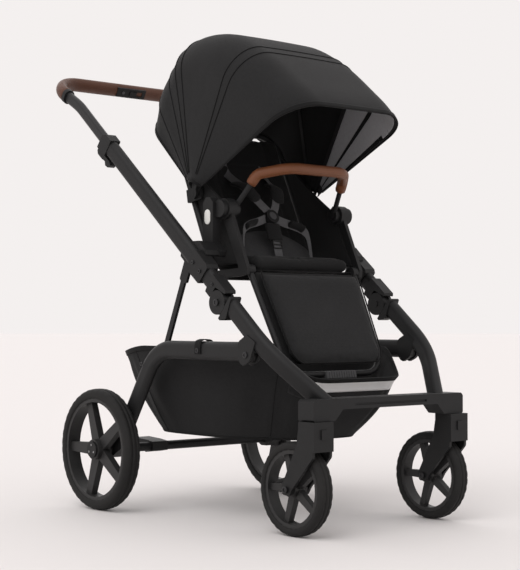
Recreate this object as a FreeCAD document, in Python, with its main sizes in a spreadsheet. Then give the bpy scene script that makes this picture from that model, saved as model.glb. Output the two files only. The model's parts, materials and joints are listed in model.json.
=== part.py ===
import FreeCAD, Part

import math
import os

import Sketcher

# A folding baby stroller: +Z up, the child faces -Y, the child's left is +X.
# The origin is on the floor, under the middle of the stroller's box.

SIZES = [
    # wheels
    ("rear_wheel_radius", 145.0),
    ("rear_tyre_width", 40.0),
    ("rear_tyre_depth", 23.0),
    ("rear_wheel_offset", 19.0),
    ("rear_axle_back", 309.0),
    ("front_wheel_radius", 100.0),
    ("front_tyre_width", 35.0),
    ("front_tyre_depth", 17.0),
    ("front_track", 418.0),
    ("front_axle_ahead", 310.0),
    ("caster_trail", 62.0),
    ("rim_depth", 9.0),
    ("rear_hub_radius", 24.0),
    ("front_hub_radius", 17.0),
    ("rear_spoke_width", 30.0),
    ("front_spoke_width", 19.0),
    ("axle_radius", 6.0),
    # side frames
    ("frame_width", 494.0),
    ("tube_height", 42.0),
    ("tube_breadth", 26.0),
    ("inner_tube_height", 29.0),
    ("inner_tube_breadth", 18.0),
    ("main_slope", 40.0),
    ("hinge_centre_height", 512.6),
    ("hinge_centre_ahead", 111.0),
    ("upper_tube_length", 549.0),
    ("leg_level", 387.0),
    ("leg_bend_back", 132.0),
    ("leg_slope", 57.0),
    ("leg_bend_radius", 105.0),
    ("handle_height", 1073.0),
    ("handle_back", 600.0),
    ("handle_corner", 85.0),
    ("grip_height", 35.0),
    ("grip_breadth", 27.0),
    # front beam
    ("beam_width", 460.0),
    ("beam_depth", 48.0),
    ("beam_ahead", 364.0),
    ("beam_top", 291.0),
    ("beam_height", 46.0),
    ("beam_socket_spread", 168.0),
    # seat
    ("hub_height", 708.0),
    ("hub_ahead", 39.5),
    ("hub_radius", 24.0),
    ("seat_width", 362.0),
    ("seat_level", 566.0),
    ("cushion_depth", 34.0),
    ("leg_joint_ahead", 101.0),
    ("leg_rest_length", 262.0),
    ("leg_rest_lean", 26.7),
    ("back_length", 400.0),
    ("back_lean", 65.6),
    ("canopy_pivot_back", 72.0),
    ("canopy_pivot_height", 750.0),
    ("canopy_width", 384.0),
    ("canopy_wall", 3.0),
    # basket
    ("basket_floor", 186.0),
    ("basket_wall", 3.0),
    # clearances
    ("running_gap", 0.1),
    ("slide_gap", 0.4),
    ("side_gap", 0.6),
]

doc = FreeCAD.newDocument("stroller")
sheet = doc.addObject("Spreadsheet::Sheet", "sizes")
for row, (alias, value) in enumerate(SIZES, start=1):
    sheet.set(f"A{row}", alias)
    sheet.set(f"B{row}", str(value))
    sheet.setAlias(f"B{row}", alias)
doc.recompute()


class Size:
    """A length that keeps its value and the sheet expression that it follows from."""

    def __init__(self, value, text):
        self.value = value
        self.text = text

    def __float__(self):
        return self.value

    def __neg__(self):
        return Size(-self.value, f"(-1 * {self.text})")

    def __add__(self, other):
        other = as_size(other)
        return Size(self.value + other.value, f"({self.text} + {other.text})")

    def __sub__(self, other):
        other = as_size(other)
        return Size(self.value - other.value, f"({self.text} - {other.text})")

    def __mul__(self, other):
        other = as_size(other)
        return Size(self.value * other.value, f"({self.text} * {other.text})")

    def __truediv__(self, other):
        other = as_size(other)
        return Size(self.value / other.value, f"({self.text} / {other.text})")

    def __radd__(self, other):
        return as_size(other) + self

    def __rsub__(self, other):
        return as_size(other) - self

    def __rmul__(self, other):
        return as_size(other) * self


def as_size(number):
    return number if isinstance(number, Size) else Size(float(number), repr(float(number)))


def size(alias):
    return Size(float(sheet.get(alias)), f"sizes.{alias}")


def mm(alias):
    """The plain number in a cell, for the shapes that are worked out here."""
    return float(sheet.get(alias))


SIDES = (("left", 1), ("right", -1))
NODES = []


def keep(obj, label):
    """Names an object as a sub-part and puts it on the list that is written out."""
    obj.Label = label
    NODES.append(obj)
    return obj


def vec(x, y, z):
    return FreeCAD.Vector(float(x), float(y), float(z))


X_AXIS = vec(1, 0, 0)


def place(x, y, z, about_x=0.0):
    return FreeCAD.Placement(vec(x, y, z), FreeCAD.Rotation(X_AXIS, float(about_x)))


# ---------------------------------------------------------------- feature helpers


def bind(obj, prop, amount):
    obj.setExpression(prop, as_size(amount).text)


def add_sketch(body, role):
    sketch = body.newObject("Sketcher::SketchObject", "sketch")
    plane = [o for o in body.Origin.OriginFeatures if o.Role == role][0]
    sketch.AttachmentSupport = [(plane, "")]
    sketch.MapMode = "FlatFace"
    return sketch


def pin_point(sketch, geometry, which, across, up):
    """Ties a point of a sketch to the sheet by its distances from the sketch's origin."""
    for kind, amount in (("DistanceX", across), ("DistanceY", up)):
        number = sketch.addConstraint(
            Sketcher.Constraint(kind, -1, 1, geometry, which, float(amount))
        )
        if isinstance(amount, Size):
            sketch.setExpression(f"Constraints[{number}]", amount.text)


def draw_outline(sketch, points):
    """A closed outline of straight sides, each corner tied to the sheet."""
    first = sketch.GeometryCount
    count = len(points)
    for i in range(count):
        a, b = points[i], points[(i + 1) % count]
        sketch.addGeometry(Part.LineSegment(vec(a[0], a[1], 0), vec(b[0], b[1], 0)), False)
    for i in range(count):
        sketch.addConstraint(
            Sketcher.Constraint("Coincident", first + i, 2, first + (i + 1) % count, 1)
        )
        pin_point(sketch, first + i, 1, *points[i])


def draw_circle(sketch, across, up, radius):
    number = sketch.addGeometry(
        Part.Circle(vec(across, up, 0), vec(0, 0, 1), float(radius)), False
    )
    pin_point(sketch, number, 3, across, up)
    constraint = sketch.addConstraint(Sketcher.Constraint("Radius", number, float(radius)))
    if isinstance(radius, Size):
        sketch.setExpression(f"Constraints[{constraint}]", radius.text)


def pad(body, sketch, length):
    feature = body.newObject("PartDesign::Pad", "pad")
    feature.Profile = sketch
    feature.Midplane = True
    bind(feature, "Length", length)
    doc.recompute()
    return feature


def pocket(body, sketch, length):
    """A cut the same depth to both sides of the sketch, which has to take something away."""
    before = body.Shape.Volume
    feature = body.newObject("PartDesign::Pocket", "pocket")
    feature.Profile = sketch
    feature.Midplane = True
    bind(feature, "Length", length)
    doc.recompute()
    if feature.Shape.Volume >= before:
        raise ValueError(f"{body.Name}: a pocket cuts nothing")
    return feature


def edges_along(shape, direction, shortest=1.0):
    """The names of a shape's straight edges that run along a direction."""
    names = []
    for number, edge in enumerate(shape.Edges, start=1):
        if edge.Curve.TypeId == "Part::GeomLine" and edge.Length > shortest:
            if abs(edge.tangentAt(edge.FirstParameter).dot(direction)) > 0.999:
                names.append(f"Edge{number}")
    return names


def round_edges(body, base, direction, radius):
    feature = body.newObject("PartDesign::Fillet", "rounding")
    feature.Base = (base, edges_along(base.Shape, direction))
    bind(feature, "Radius", radius)
    doc.recompute()
    return feature


def rear_wheel_middle():
    """How far out a rear wheel's middle lies: outside the side frame, by the tyre's half and a gap."""
    return mm("frame_width") / 2 + mm("rear_wheel_offset") + mm("rear_tyre_width") / 2


def plate(name, outline, thickness, placement, rounding=None):
    """A flat piece cut across X from an outline in its own Y and Z."""
    body = doc.addObject("PartDesign::Body", name)
    sketch = add_sketch(body, "YZ_Plane")
    draw_outline(sketch, outline)
    feature = pad(body, sketch, thickness)
    if rounding is not None:
        round_edges(body, feature, X_AXIS, rounding)
    body.Placement = placement
    return body


def spun(name, outline, placement, spokes=None):
    """A wheel piece: an outline in its own X and Y, turned about X, with five spokes or none."""
    body = doc.addObject("PartDesign::Body", name)
    sketch = add_sketch(body, "XY_Plane")
    draw_outline(sketch, outline)
    turned = body.newObject("PartDesign::Revolution", "turned")
    turned.Profile = sketch
    turned.ReferenceAxis = (sketch, ["H_Axis"])
    turned.Angle = 360
    doc.recompute()
    if spokes is not None:
        inner, outer, width, thickness = spokes
        web = add_sketch(body, "YZ_Plane")
        half = width / 2
        narrow = width * 0.36
        draw_outline(web, [(inner, -half), (outer, -narrow), (outer, narrow), (inner, half)])
        spoke = pad(body, web, thickness)
        pattern = body.newObject("PartDesign::PolarPattern", "spokes")
        pattern.Originals = [spoke]
        axis = [o for o in body.Origin.OriginFeatures if o.Role == "X_Axis"][0]
        pattern.Axis = (axis, [""])
        pattern.Angle = 360
        pattern.Occurrences = 5
        body.Tip = pattern
        doc.recompute()
    body.Placement = placement
    return body


def rod(name, radius, start, end_x):
    """A round bar along X from a start point to another X."""
    bar = doc.addObject("Part::Cylinder", name)
    bind(bar, "Radius", radius)
    bind(bar, "Height", as_size(end_x) - as_size(start[0]))
    bar.Placement = FreeCAD.Placement(
        vec(*start), FreeCAD.Rotation(vec(0, 1, 0), 90.0)
    )
    return bar


def post(name, radius, height, base):
    """A round bar that stands on a base point."""
    bar = doc.addObject("Part::Cylinder", name)
    bind(bar, "Radius", radius)
    bind(bar, "Height", height)
    bar.Placement = place(*base)
    return bar


def block(name, length, width, height, centre, about_x=0.0):
    """A box by its sizes along X, Y and Z, about its middle, then turned about X."""
    box = doc.addObject("Part::Box", name)
    bind(box, "Length", length)
    bind(box, "Width", width)
    bind(box, "Height", height)
    turn = FreeCAD.Rotation(X_AXIS, float(about_x))
    half = vec(float(length) / 2, float(width) / 2, float(height) / 2)
    box.Placement = FreeCAD.Placement(vec(*centre) - turn.multVec(half), turn)
    return box


def soft_block(name, length, width, height, centre, about_x, rounding):
    """A cushion's plain closed form: a box with every edge rounded."""
    box = block(name + "_box", length, width, height, centre, about_x)
    doc.recompute()
    soft = doc.addObject("Part::Fillet", name)
    soft.Base = box
    soft.Edges = [(i, float(rounding), float(rounding)) for i in range(1, 13)]
    doc.recompute()
    return soft


def fuse(name, pieces):
    joined = doc.addObject("Part::MultiFuse", name)
    joined.Shapes = pieces
    doc.recompute()
    return joined


def cut(name, base, tools):
    """One piece with the room taken out of it that its neighbours fill."""
    tool = tools[0] if len(tools) == 1 else fuse(name + "_tools", tools)
    result = doc.addObject("Part::Cut", name)
    result.Base = base
    result.Tool = tool
    doc.recompute()
    return result


def group(name, pieces):
    """Separate solids that share one sub-part."""
    gathered = doc.addObject("Part::Compound", name)
    gathered.Links = pieces
    doc.recompute()
    return gathered


def shaped(name, shape):
    """A sub-part whose shape is worked out here, such as a tube along a bent path."""
    feature = doc.addObject("Part::Feature", name)
    feature.Shape = shape
    feature.Placement = FreeCAD.Placement()
    return feature


# ---------------------------------------------------------------- bent tubes


def bent_path(points, radii):
    """Straight runs joined by tangent arcs; radii has one radius for each inner point."""
    edges = []
    start = points[0]
    for before, corner, after, radius in zip(points, points[1:], points[2:], radii):
        into = (corner - before).normalize()
        out = (after - corner).normalize()
        turn = math.acos(max(-1.0, min(1.0, into.dot(out))))
        reach = radius * math.tan(turn / 2)
        first = corner - into * reach
        last = corner + out * reach
        middle = (out - into).normalize()
        centre = corner + middle * (radius / math.cos(turn / 2))
        edges.append(Part.LineSegment(start, first).toShape())
        edges.append(Part.Arc(first, centre - middle * radius, last).toShape())
        start = last
    edges.append(Part.LineSegment(start, points[-1]).toShape())
    return Part.Wire(edges)


def oval_wire(at, along, side, height, breadth):
    """A flat oval across a path: breadth along side, height square to both."""
    side = (side - along * side.dot(along)).normalize()
    up = along.cross(side)
    half = (height - breadth) / 2
    radius = breadth / 2
    corners = [at + side * (radius * i) + up * (half * j) for i, j in ((1, -1), (1, 1), (-1, 1), (-1, -1))]
    return Part.Wire(
        [
            Part.LineSegment(corners[0], corners[1]).toShape(),
            Part.Arc(corners[1], at + up * (half + radius), corners[2]).toShape(),
            Part.LineSegment(corners[2], corners[3]).toShape(),
            Part.Arc(corners[3], at - up * (half + radius), corners[0]).toShape(),
        ]
    )


def sweep(points, radii, height, breadth, side=X_AXIS):
    """A solid bar of flat oval or round section along a bent path."""
    path = bent_path(points, radii)
    along = (points[1] - points[0]).normalize()
    if abs(height - breadth) < 0.01:
        profile = Part.Wire([Part.Circle(points[0], along, breadth / 2).toShape()])
    else:
        profile = oval_wire(points[0], along, side, height, breadth)
    return path.makePipeShell([profile], True, False)


def strap(start, end, across, width, thickness):
    """A flat band from one point to another, its width along across."""
    along = (end - start).normalize()
    across = (across - along * across.dot(along)).normalize()
    normal = along.cross(across)
    corners = [
        start + across * (width / 2 * i) + normal * (thickness / 2 * j)
        for i, j in ((-1, -1), (1, -1), (1, 1), (-1, 1))
    ]
    face = Part.Face(Part.makePolygon(corners + corners[:1]))
    return face.extrude(end - start)


# ---------------------------------------------------------------- the frame's layout

half_frame = mm("frame_width") / 2
slope = math.radians(mm("main_slope"))
ALONG = vec(0, math.cos(slope), math.sin(slope))
NORMAL = vec(0, -math.sin(slope), math.cos(slope))
TUBE_ORIGIN = vec(0, -mm("hinge_centre_ahead"), mm("hinge_centre_height"))


def on_tube(x, s, n=0.0):
    """A point of a side frame: s along the main tube from its hinge, n square to it."""
    return vec(x, 0, 0) + TUBE_ORIGIN + ALONG * float(s) + NORMAL * float(n)


def tube_place(x, s=0.0, n=0.0):
    """The placement whose own Y runs up the main tube and whose own Z is square to it."""
    at = on_tube(x, s, n)
    return place(at.x, at.y, at.z, mm("main_slope"))


FOLD_S, FOLD_N = -10.0, -16.0  # the fold hinge, just under the tube's middle
LEG_S, LEG_N = -158.0, -40.5  # the rear leg's hinge, under the lower tube
LINK_S, LINK_N = 165.0, -16.0  # the upper end of the fold link
KNUCKLE_BREADTH = size("tube_breadth") + 4
TONGUE = 12.0
CHEEK_RADIUS = 27.0
TONGUE_RADIUS = 24.0
LEVER_PIN = 2.2
LINK_PIN = 4.0

TOWER_THICKNESS = 20.0
HUB_REACH = 7.0  # how far the hub stands out of the seat's side

hub_y = -mm("hub_ahead")
hub_z = mm("hub_height")
tower_inner = mm("seat_width") / 2 + HUB_REACH + mm("side_gap")
rear_y = mm("rear_axle_back")
rear_z = mm("rear_wheel_radius")
stem_y = -mm("front_axle_ahead") - mm("caster_trail")
link_x = half_frame - mm("tube_breadth") / 2 - 1.2 - 3.5


# ---------------------------------------------------------------- front frame (fixed)


def lower_tube(label, sign):
    """The lower half of a main tube, which curves inwards to the front beam."""
    start = on_tube(sign * half_frame, -40)
    bend = on_tube(sign * half_frame, -195)
    end = vec(
        sign * mm("beam_socket_spread"), -mm("beam_ahead"), mm("beam_top") - mm("beam_height") * 0.35
    )
    shape = sweep([start, bend, end], [230.0], mm("tube_height"), mm("tube_breadth"))
    return keep(shaped(label, shape), label)


def knuckle_lower(label, sign, tube):
    """The lower knuckle: a socket round the lower tube, and a tongue round the fold pin."""
    body = doc.addObject("PartDesign::Body", label + "_body")
    base = add_sketch(body, "YZ_Plane")
    draw_outline(base, [(-57, -23), (-43, -40), (-36, -40), (-36, 23), (-42, 23)])
    first = pad(body, base, KNUCKLE_BREADTH)
    round_edges(body, first, X_AXIS, 2)
    room = add_sketch(body, "YZ_Plane")
    draw_circle(room, FOLD_S, FOLD_N, CHEEK_RADIUS + size("side_gap"))
    pocket(body, room, KNUCKLE_BREADTH + 2)
    neck = add_sketch(body, "YZ_Plane")
    draw_outline(neck, [(-40, -34), (FOLD_S, -34), (FOLD_S, 2), (-40, 2)])
    pad(body, neck, TONGUE)
    disc = add_sketch(body, "YZ_Plane")
    draw_circle(disc, FOLD_S, FOLD_N, TONGUE_RADIUS)
    pad(body, disc, TONGUE)
    pin_start = on_tube(sign * half_frame, FOLD_S, FOLD_N)
    reach = float(KNUCKLE_BREADTH) / 2 + 1.5
    body.Placement = tube_place(sign * half_frame)
    pin = rod(label + "_pin", 7, (pin_start.x - reach, pin_start.y, pin_start.z), pin_start.x + reach)
    doc.recompute()
    joined = fuse(label + "_solid", [body, pin])
    return keep(cut(label, joined, [tube]), label)


def leg_brackets(tubes):
    """The two brackets under the lower tubes that the rear legs hinge on."""
    pieces = []
    for name, sign in SIDES:
        at = on_tube(sign * half_frame, LEG_S, LEG_N)
        outline = [(at.y - 32, at.z + 28), (at.y - 15, at.z - 10), (at.y - 8, at.z - 16), (at.y + 8, at.z - 23),
                   (at.y + 16, at.z - 19.5), (at.y + 22, at.z - 12.5), (at.y + 25.2, at.z - 3),
                   (at.y + 25.2, at.z + 26), (at.y + 20, at.z + 31), (at.y - 4, at.z + 44)]
        cheek = plate(
            f"leg_bracket_{name}", outline, size("tube_breadth") + 3, place(sign * half_frame, 0, 0), 2
        )
        slot = plate(
            f"leg_slot_{name}",
            [(-176, -23.5), (-176, -90), (-90, -90), (-90, -23.5)],
            as_size(TONGUE) + size("side_gap") * 2,
            tube_place(sign * half_frame),
        )
        half = mm("tube_breadth") / 2
        pin = rod(f"leg_pin_{name}", 5, (at.x - half - 1, at.y, at.z), at.x + half + 1)
        doc.recompute()
        open_cheek = cut(f"leg_bracket_open_{name}", cheek, [slot, tubes[name]])
        pieces.append(fuse(f"leg_bracket_whole_{name}", [open_cheek, pin]))
    return keep(group("leg_brackets", pieces), "leg_pivot_brackets")


def front_beam(tubes):
    """The moulded cross beam, arched underneath, with a socket above each caster."""
    top = size("beam_top")
    bottom = top - size("beam_height")
    half = size("beam_width") / 2
    body = doc.addObject("PartDesign::Body", "front_beam_body")
    sketch = add_sketch(body, "XZ_Plane")
    arch = bottom + 23
    draw_outline(
        sketch,
        [
            (-half, bottom), (-half + 62, bottom), (-half + 84, arch), (half - 84, arch),
            (half - 62, bottom), (half, bottom), (half, top - 6), (half - 6, top),
            (-half + 6, top), (-half, top - 6),
        ],
    )
    first = pad(body, sketch, size("beam_depth"))
    round_edges(body, first, vec(0, 1, 0), 4)
    relief = add_sketch(body, "XZ_Plane")
    draw_outline(relief, [(-110, top - 16), (110, top - 16), (110, top - 11), (-110, top - 11)])
    relief.AttachmentOffset = FreeCAD.Placement(vec(0, 0, mm("beam_depth") / 2), FreeCAD.Rotation())
    relief.setExpression("AttachmentOffset.Base.z", (size("beam_depth") / 2).text)
    pocket(body, relief, 6)
    body.Placement = place(0, -mm("beam_ahead"), 0)
    sockets = [
        post(f"stem_socket_{name}", 12.0 + mm("running_gap"), size("beam_height") - 8,
             (sign * mm("front_track") / 2, stem_y, mm("beam_top") - mm("beam_height") - 1))
        for name, sign in SIDES
    ]
    doc.recompute()
    return keep(cut("front_beam", body, sockets + list(tubes.values())), "front_beam")


# ---------------------------------------------------------------- upper frame (folds)


def upper_tube(label, sign):
    """The outer tube, hollow so that the handle's tube slides in it."""
    body = doc.addObject("PartDesign::Body", label)
    sketch = add_sketch(body, "XY_Plane")
    half_b, half_h = size("tube_breadth") / 2, size("tube_height") / 2
    draw_outline(sketch, [(-half_b, -half_h), (half_b, -half_h), (half_b, half_h), (-half_b, half_h)])
    length = body.newObject("PartDesign::Pad", "pad")
    length.Profile = sketch
    bind(length, "Length", size("upper_tube_length"))
    doc.recompute()
    round_edges(body, length, vec(0, 0, 1), half_b - 0.05)
    bore = add_sketch(body, "XY_Plane")
    bore_b = size("inner_tube_breadth") / 2 + size("slide_gap")
    bore_h = size("inner_tube_height") / 2 + size("slide_gap")
    draw_outline(bore, [(-bore_b, -bore_h), (bore_b, -bore_h), (bore_b, bore_h), (-bore_b, bore_h)])
    pocket(body, bore, size("upper_tube_length") * 2 + 10)
    at = on_tube(sign * half_frame, 34)
    body.Placement = place(at.x, at.y, at.z, mm("main_slope") - 90)
    return keep(body, label)


def knuckle_upper(label, sign, tube):
    """The upper knuckle: a socket round the upper tube, and two cheeks on the fold pin."""
    body = doc.addObject("PartDesign::Body", label + "_body")
    base = add_sketch(body, "YZ_Plane")
    draw_outline(base, [(16, -23), (38, -23), (44, 20), (41, 23), (-16, 23), (-22, 16), (16, 6)])
    first = pad(body, base, KNUCKLE_BREADTH)
    round_edges(body, first, X_AXIS, 2.5)
    disc = add_sketch(body, "YZ_Plane")
    draw_circle(disc, FOLD_S, FOLD_N, CHEEK_RADIUS)
    pad(body, disc, KNUCKLE_BREADTH)
    slot = add_sketch(body, "YZ_Plane")
    draw_circle(slot, FOLD_S, FOLD_N, CHEEK_RADIUS + 0.8)
    pocket(body, slot, as_size(TONGUE) + size("side_gap") * 2)
    hole = add_sketch(body, "YZ_Plane")
    draw_circle(hole, FOLD_S, FOLD_N, 7 + size("running_gap"))
    pocket(body, hole, KNUCKLE_BREADTH + 4)
    body.Placement = tube_place(sign * half_frame)
    doc.recompute()
    return keep(cut(label, body, [tube]), label)


def seat_mount(label, sign, tube):
    """The clamp on the upper tube and the tower inside it that carries the seat's hub."""
    tower_x = sign * (tower_inner + TOWER_THICKNESS / 2)
    clamp = plate(
        label + "_clamp",
        [(66, -25), (122, -27), (130, 22), (122, 27), (72, 27), (64, 21)],
        size("tube_breadth") + 7,
        tube_place(sign * half_frame),
        4,
    )
    top = mm("hub_height") + 27
    back = -9.5
    tower = plate(
        label + "_tower",
        [(back - 18, 632), (back - 18, top - 12), (back - 7, top), (back + 7, top),
         (back + 17, top - 12), (back + 19, 618), (back - 40, 596), (back - 44, 612)],
        TOWER_THICKNESS,
        place(tower_x, 0, 0),
        5,
    )
    reach = half_frame - tower_inner - TOWER_THICKNESS / 2
    bridge = plate(
        label + "_bridge",
        [(back - 42, 598), (back - 40, 612), (back - 16, 634), (back + 17, 634), (back + 17, 620)],
        reach,
        place(sign * (half_frame - reach / 2), 0, 0),
        3,
    )
    low, high = sorted((sign * tower_inner, sign * (tower_inner + 12)))
    nose = rod(label + "_nose", 20, (low, hub_y, hub_z), high)
    doc.recompute()
    joined = fuse(label + "_solid", [clamp, tower, bridge, nose])
    return keep(cut(label, joined, [tube]), label)


def telescopic_collars(tubes):
    """The collars at the upper tubes' ends, each with a foot that its lever turns on."""
    pieces = []
    for name, sign in SIDES:
        end = 34 + size("upper_tube_length")
        sleeve = plate(
            f"collar_{name}",
            [(end - 24, -22.5), (end + 16, -22.5), (end + 16, 12), (end + 4, 22.5), (end - 24, 22.5)],
            size("tube_breadth") + 3,
            tube_place(sign * half_frame),
            2,
        )
        foot = plate(
            f"collar_foot_{name}",
            [(end + 6, -30.5), (end + 15, -30.5), (end + 16, -21), (end, -21)],
            9,
            tube_place(sign * half_frame),
            2,
        )
        inner = block(
            f"collar_bore_{name}",
            size("inner_tube_breadth") + size("slide_gap") * 2,
            100,
            size("inner_tube_height") + size("slide_gap") * 2,
            on_tube(sign * half_frame, float(end)),
            mm("main_slope"),
        )
        at = lever_pivot(sign)
        pin = rod(f"collar_pin_{name}", LEVER_PIN, (at.x - 9.4, at.y, at.z), at.x + 9.4)
        doc.recompute()
        whole = fuse(f"collar_whole_{name}", [sleeve, foot, pin])
        pieces.append(cut(f"collar_open_{name}", whole, [inner, tubes[name]]))
    return keep(group("collars", pieces), "telescopic_collars")


def link_housings(tubes):
    """The shoes under the upper tubes that the fold links hang from."""
    pieces = []
    for name, sign in SIDES:
        shoe = plate(
            f"link_shoe_{name}",
            [(LINK_S - 26, -12), (LINK_S - 22, -34), (LINK_S + 14, -34), (LINK_S + 24, -12)],
            8,
            tube_place(sign * (half_frame - 8)),
            3,
        )
        doc.recompute()
        open_shoe = cut(f"link_shoe_open_{name}", shoe, [tubes[name]])
        top = on_tube(0, LINK_S, LINK_N)
        low, high = sorted((sign * (link_x - 3.5), sign * (half_frame - 10)))
        pin = rod(f"link_pin_{name}", LINK_PIN, (low, top.y, top.z), high)
        doc.recompute()
        open_pin = cut(f"link_pin_open_{name}", pin, [tubes[name]])
        pieces.append(fuse(f"link_shoe_whole_{name}", [open_shoe, open_pin]))
    return keep(group("shoes", pieces), "link_housings")


# ---------------------------------------------------------------- handle (slides)

HANDLE_BEND_S = 745.0
GRIP_START = 0.44  # how far along the upper bend the grip begins


def handle_points(inset=0.0):
    """The handle's route from one side, up, across and down the other side."""
    bend = on_tube(half_frame, HANDLE_BEND_S)
    corner = vec(half_frame, mm("handle_back"), mm("handle_height"))
    inner_end = on_tube(half_frame, 34 + mm("upper_tube_length") - 190 + inset)
    right = [inner_end, bend, corner]
    return right + [vec(-p.x, p.y, p.z) for p in reversed(right)]


def handle_frame():
    points = handle_points()
    shape = sweep(
        points, [180.0, mm("handle_corner"), mm("handle_corner"), 180.0],
        mm("inner_tube_height"), mm("inner_tube_breadth"),
    )
    return keep(shaped("handle_frame", shape), "handle_frame")


def grip_route():
    points = handle_points()
    bend, corner = points[1], points[2]
    start = bend + (corner - bend) * GRIP_START
    return [start, corner, vec(-corner.x, corner.y, corner.z), vec(-start.x, start.y, start.z)]


def release_frame():
    """The turn and the middle of the release panel, which faces down and forwards."""
    points = handle_points()
    run = points[2] - points[1]
    rise = math.degrees(math.atan2(run.z, run.y))
    turn = FreeCAD.Rotation(X_AXIS, 90 + rise)
    return vec(0, mm("handle_back"), mm("handle_height")), turn


def on_release(x, out):
    middle, turn = release_frame()
    return middle + vec(x, 0, 0) + turn.multVec(vec(0, 0, out))


def release_block(name, length, width, height, x, out):
    box = block(name, length, width, height, (0, 0, 0))
    _, turn = release_frame()
    half = vec(length / 2, width / 2, height / 2)
    box.Placement = FreeCAD.Placement(on_release(x, out) - turn.multVec(half), turn)
    return box


def release_post(name, radius, height, x, out):
    bar = post(name, radius, height, (0, 0, 0))
    _, turn = release_frame()
    bar.Placement = FreeCAD.Placement(on_release(x, out), turn)
    return bar


def handle_grip(frame):
    """The stitched cover of the handle, and the black ring at each of its ends."""
    route = grip_route()
    corner = mm("handle_corner")
    solid = sweep(route, [corner, corner], mm("grip_height"), mm("grip_breadth"))
    cover = shaped("grip_solid", solid)
    panel = release_block("grip_panel_seat", 92, 26, 20, 0, 9 + 10)
    doc.recompute()
    keep(cut("handle_grip", cover, [frame, panel]), "handle_grip")
    rings = []
    for name, start, toward in (("left", route[0], route[1]), ("right", route[3], route[2])):
        along = (toward - start).normalize()
        profile = oval_wire(start - along * 12, along, X_AXIS, mm("grip_height") + 2, mm("grip_breadth") + 2)
        ring = shaped(f"grip_ring_solid_{name}", Part.Face(profile).extrude(along * 12))
        rings.append(cut(f"grip_ring_{name}", ring, [frame]))
    return keep(group("rings", rings), "grip_end_rings")


def fold_release(frame):
    """The panel let into the grip, with its slider and its safety button."""
    case = release_block("release_case", 91, 25, 6, 0, 12.3)
    slot = release_block("release_slot", 42, 12, 12, 14, 18)
    well = release_post("release_well", 4.4, 12.6, -26, 11.4)
    doc.recompute()
    keep(cut("fold_release_panel", case, [slot, well, frame]), "fold_release_panel")
    keep(release_block("fold_slider", 22, 11, 5, 5.5, 14.8), "fold_release_slider")
    keep(release_post("fold_button", 4, 3.5, -26, 13.8), "fold_safety_button")


def lever_pivot(sign):
    return on_tube(sign * half_frame, 34 + mm("upper_tube_length") + 11, -28.8)


def flip_lever(label, sign):
    """The lever under a collar that frees the handle's height."""
    end = 34 + mm("upper_tube_length")
    outline = [(end + 4, -24), (end + 12, -24), (end + 16, -27), (end + 15.5, -31.5), (end + 8, -37.5),
               (end - 14, -37), (end - 28, -34), (end - 36, -41), (end - 48, -39), (end - 54, -28),
               (end - 44, -24)]
    arm = plate(label + "_arm", outline, 19, tube_place(sign * half_frame), 1.5)
    room = plate(
        label + "_room",
        [(end - 12, -34.5), (end + 40, -34.5), (end + 40, -18), (end - 12, -18)],
        10.4,
        tube_place(sign * half_frame),
    )
    at = lever_pivot(sign)
    bore = rod(label + "_bore", LEVER_PIN + size("running_gap"), (at.x - 12, at.y, at.z), at.x + 12)
    doc.recompute()
    return keep(cut(label, arm, [room, bore]), label)


# ---------------------------------------------------------------- rear frame (folds)


def leg_shape(sign):
    level = mm("leg_level")
    hinge = on_tube(0, LEG_S, LEG_N)
    lean = math.radians(mm("leg_slope"))
    drop = level - rear_z - 20
    start = vec(sign * half_frame, hinge.y + 26, level)
    bend = vec(sign * half_frame, mm("leg_bend_back"), level)
    end = bend + vec(0, math.cos(lean), -math.sin(lean)) * (drop / math.sin(lean))
    return sweep(
        [start, bend, end], [mm("leg_bend_radius")], mm("tube_height"), mm("tube_breadth")
    ), end


def rear_leg(label, sign):
    """A rear leg: level beside the basket, then bent down to the wheel, hinged on a tongue."""
    shape, end = leg_shape(sign)
    hinge = on_tube(sign * half_frame, LEG_S, LEG_N)
    tube = shaped(label + "_tube", shape)
    level = mm("leg_level")
    tongue = plate(
        label + "_tongue",
        [
            (hinge.y - 2, hinge.z - 12), (hinge.y + 38, level - 16),
            (hinge.y + 38, level + 14), (hinge.y - 4, hinge.z + 12),
        ],
        TONGUE,
        place(sign * half_frame, 0, 0),
        1,
    )
    disc = rod(label + "_disc", 14, (hinge.x - TONGUE / 2, hinge.y, hinge.z), hinge.x + TONGUE / 2)
    bore = rod(label + "_bore", 5 + size("running_gap"), (hinge.x - 20, hinge.y, hinge.z), hinge.x + 20)
    doc.recompute()
    whole = fuse(label + "_whole", [tube, tongue, disc])
    return keep(cut(label, whole, [bore]), label)


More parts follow.
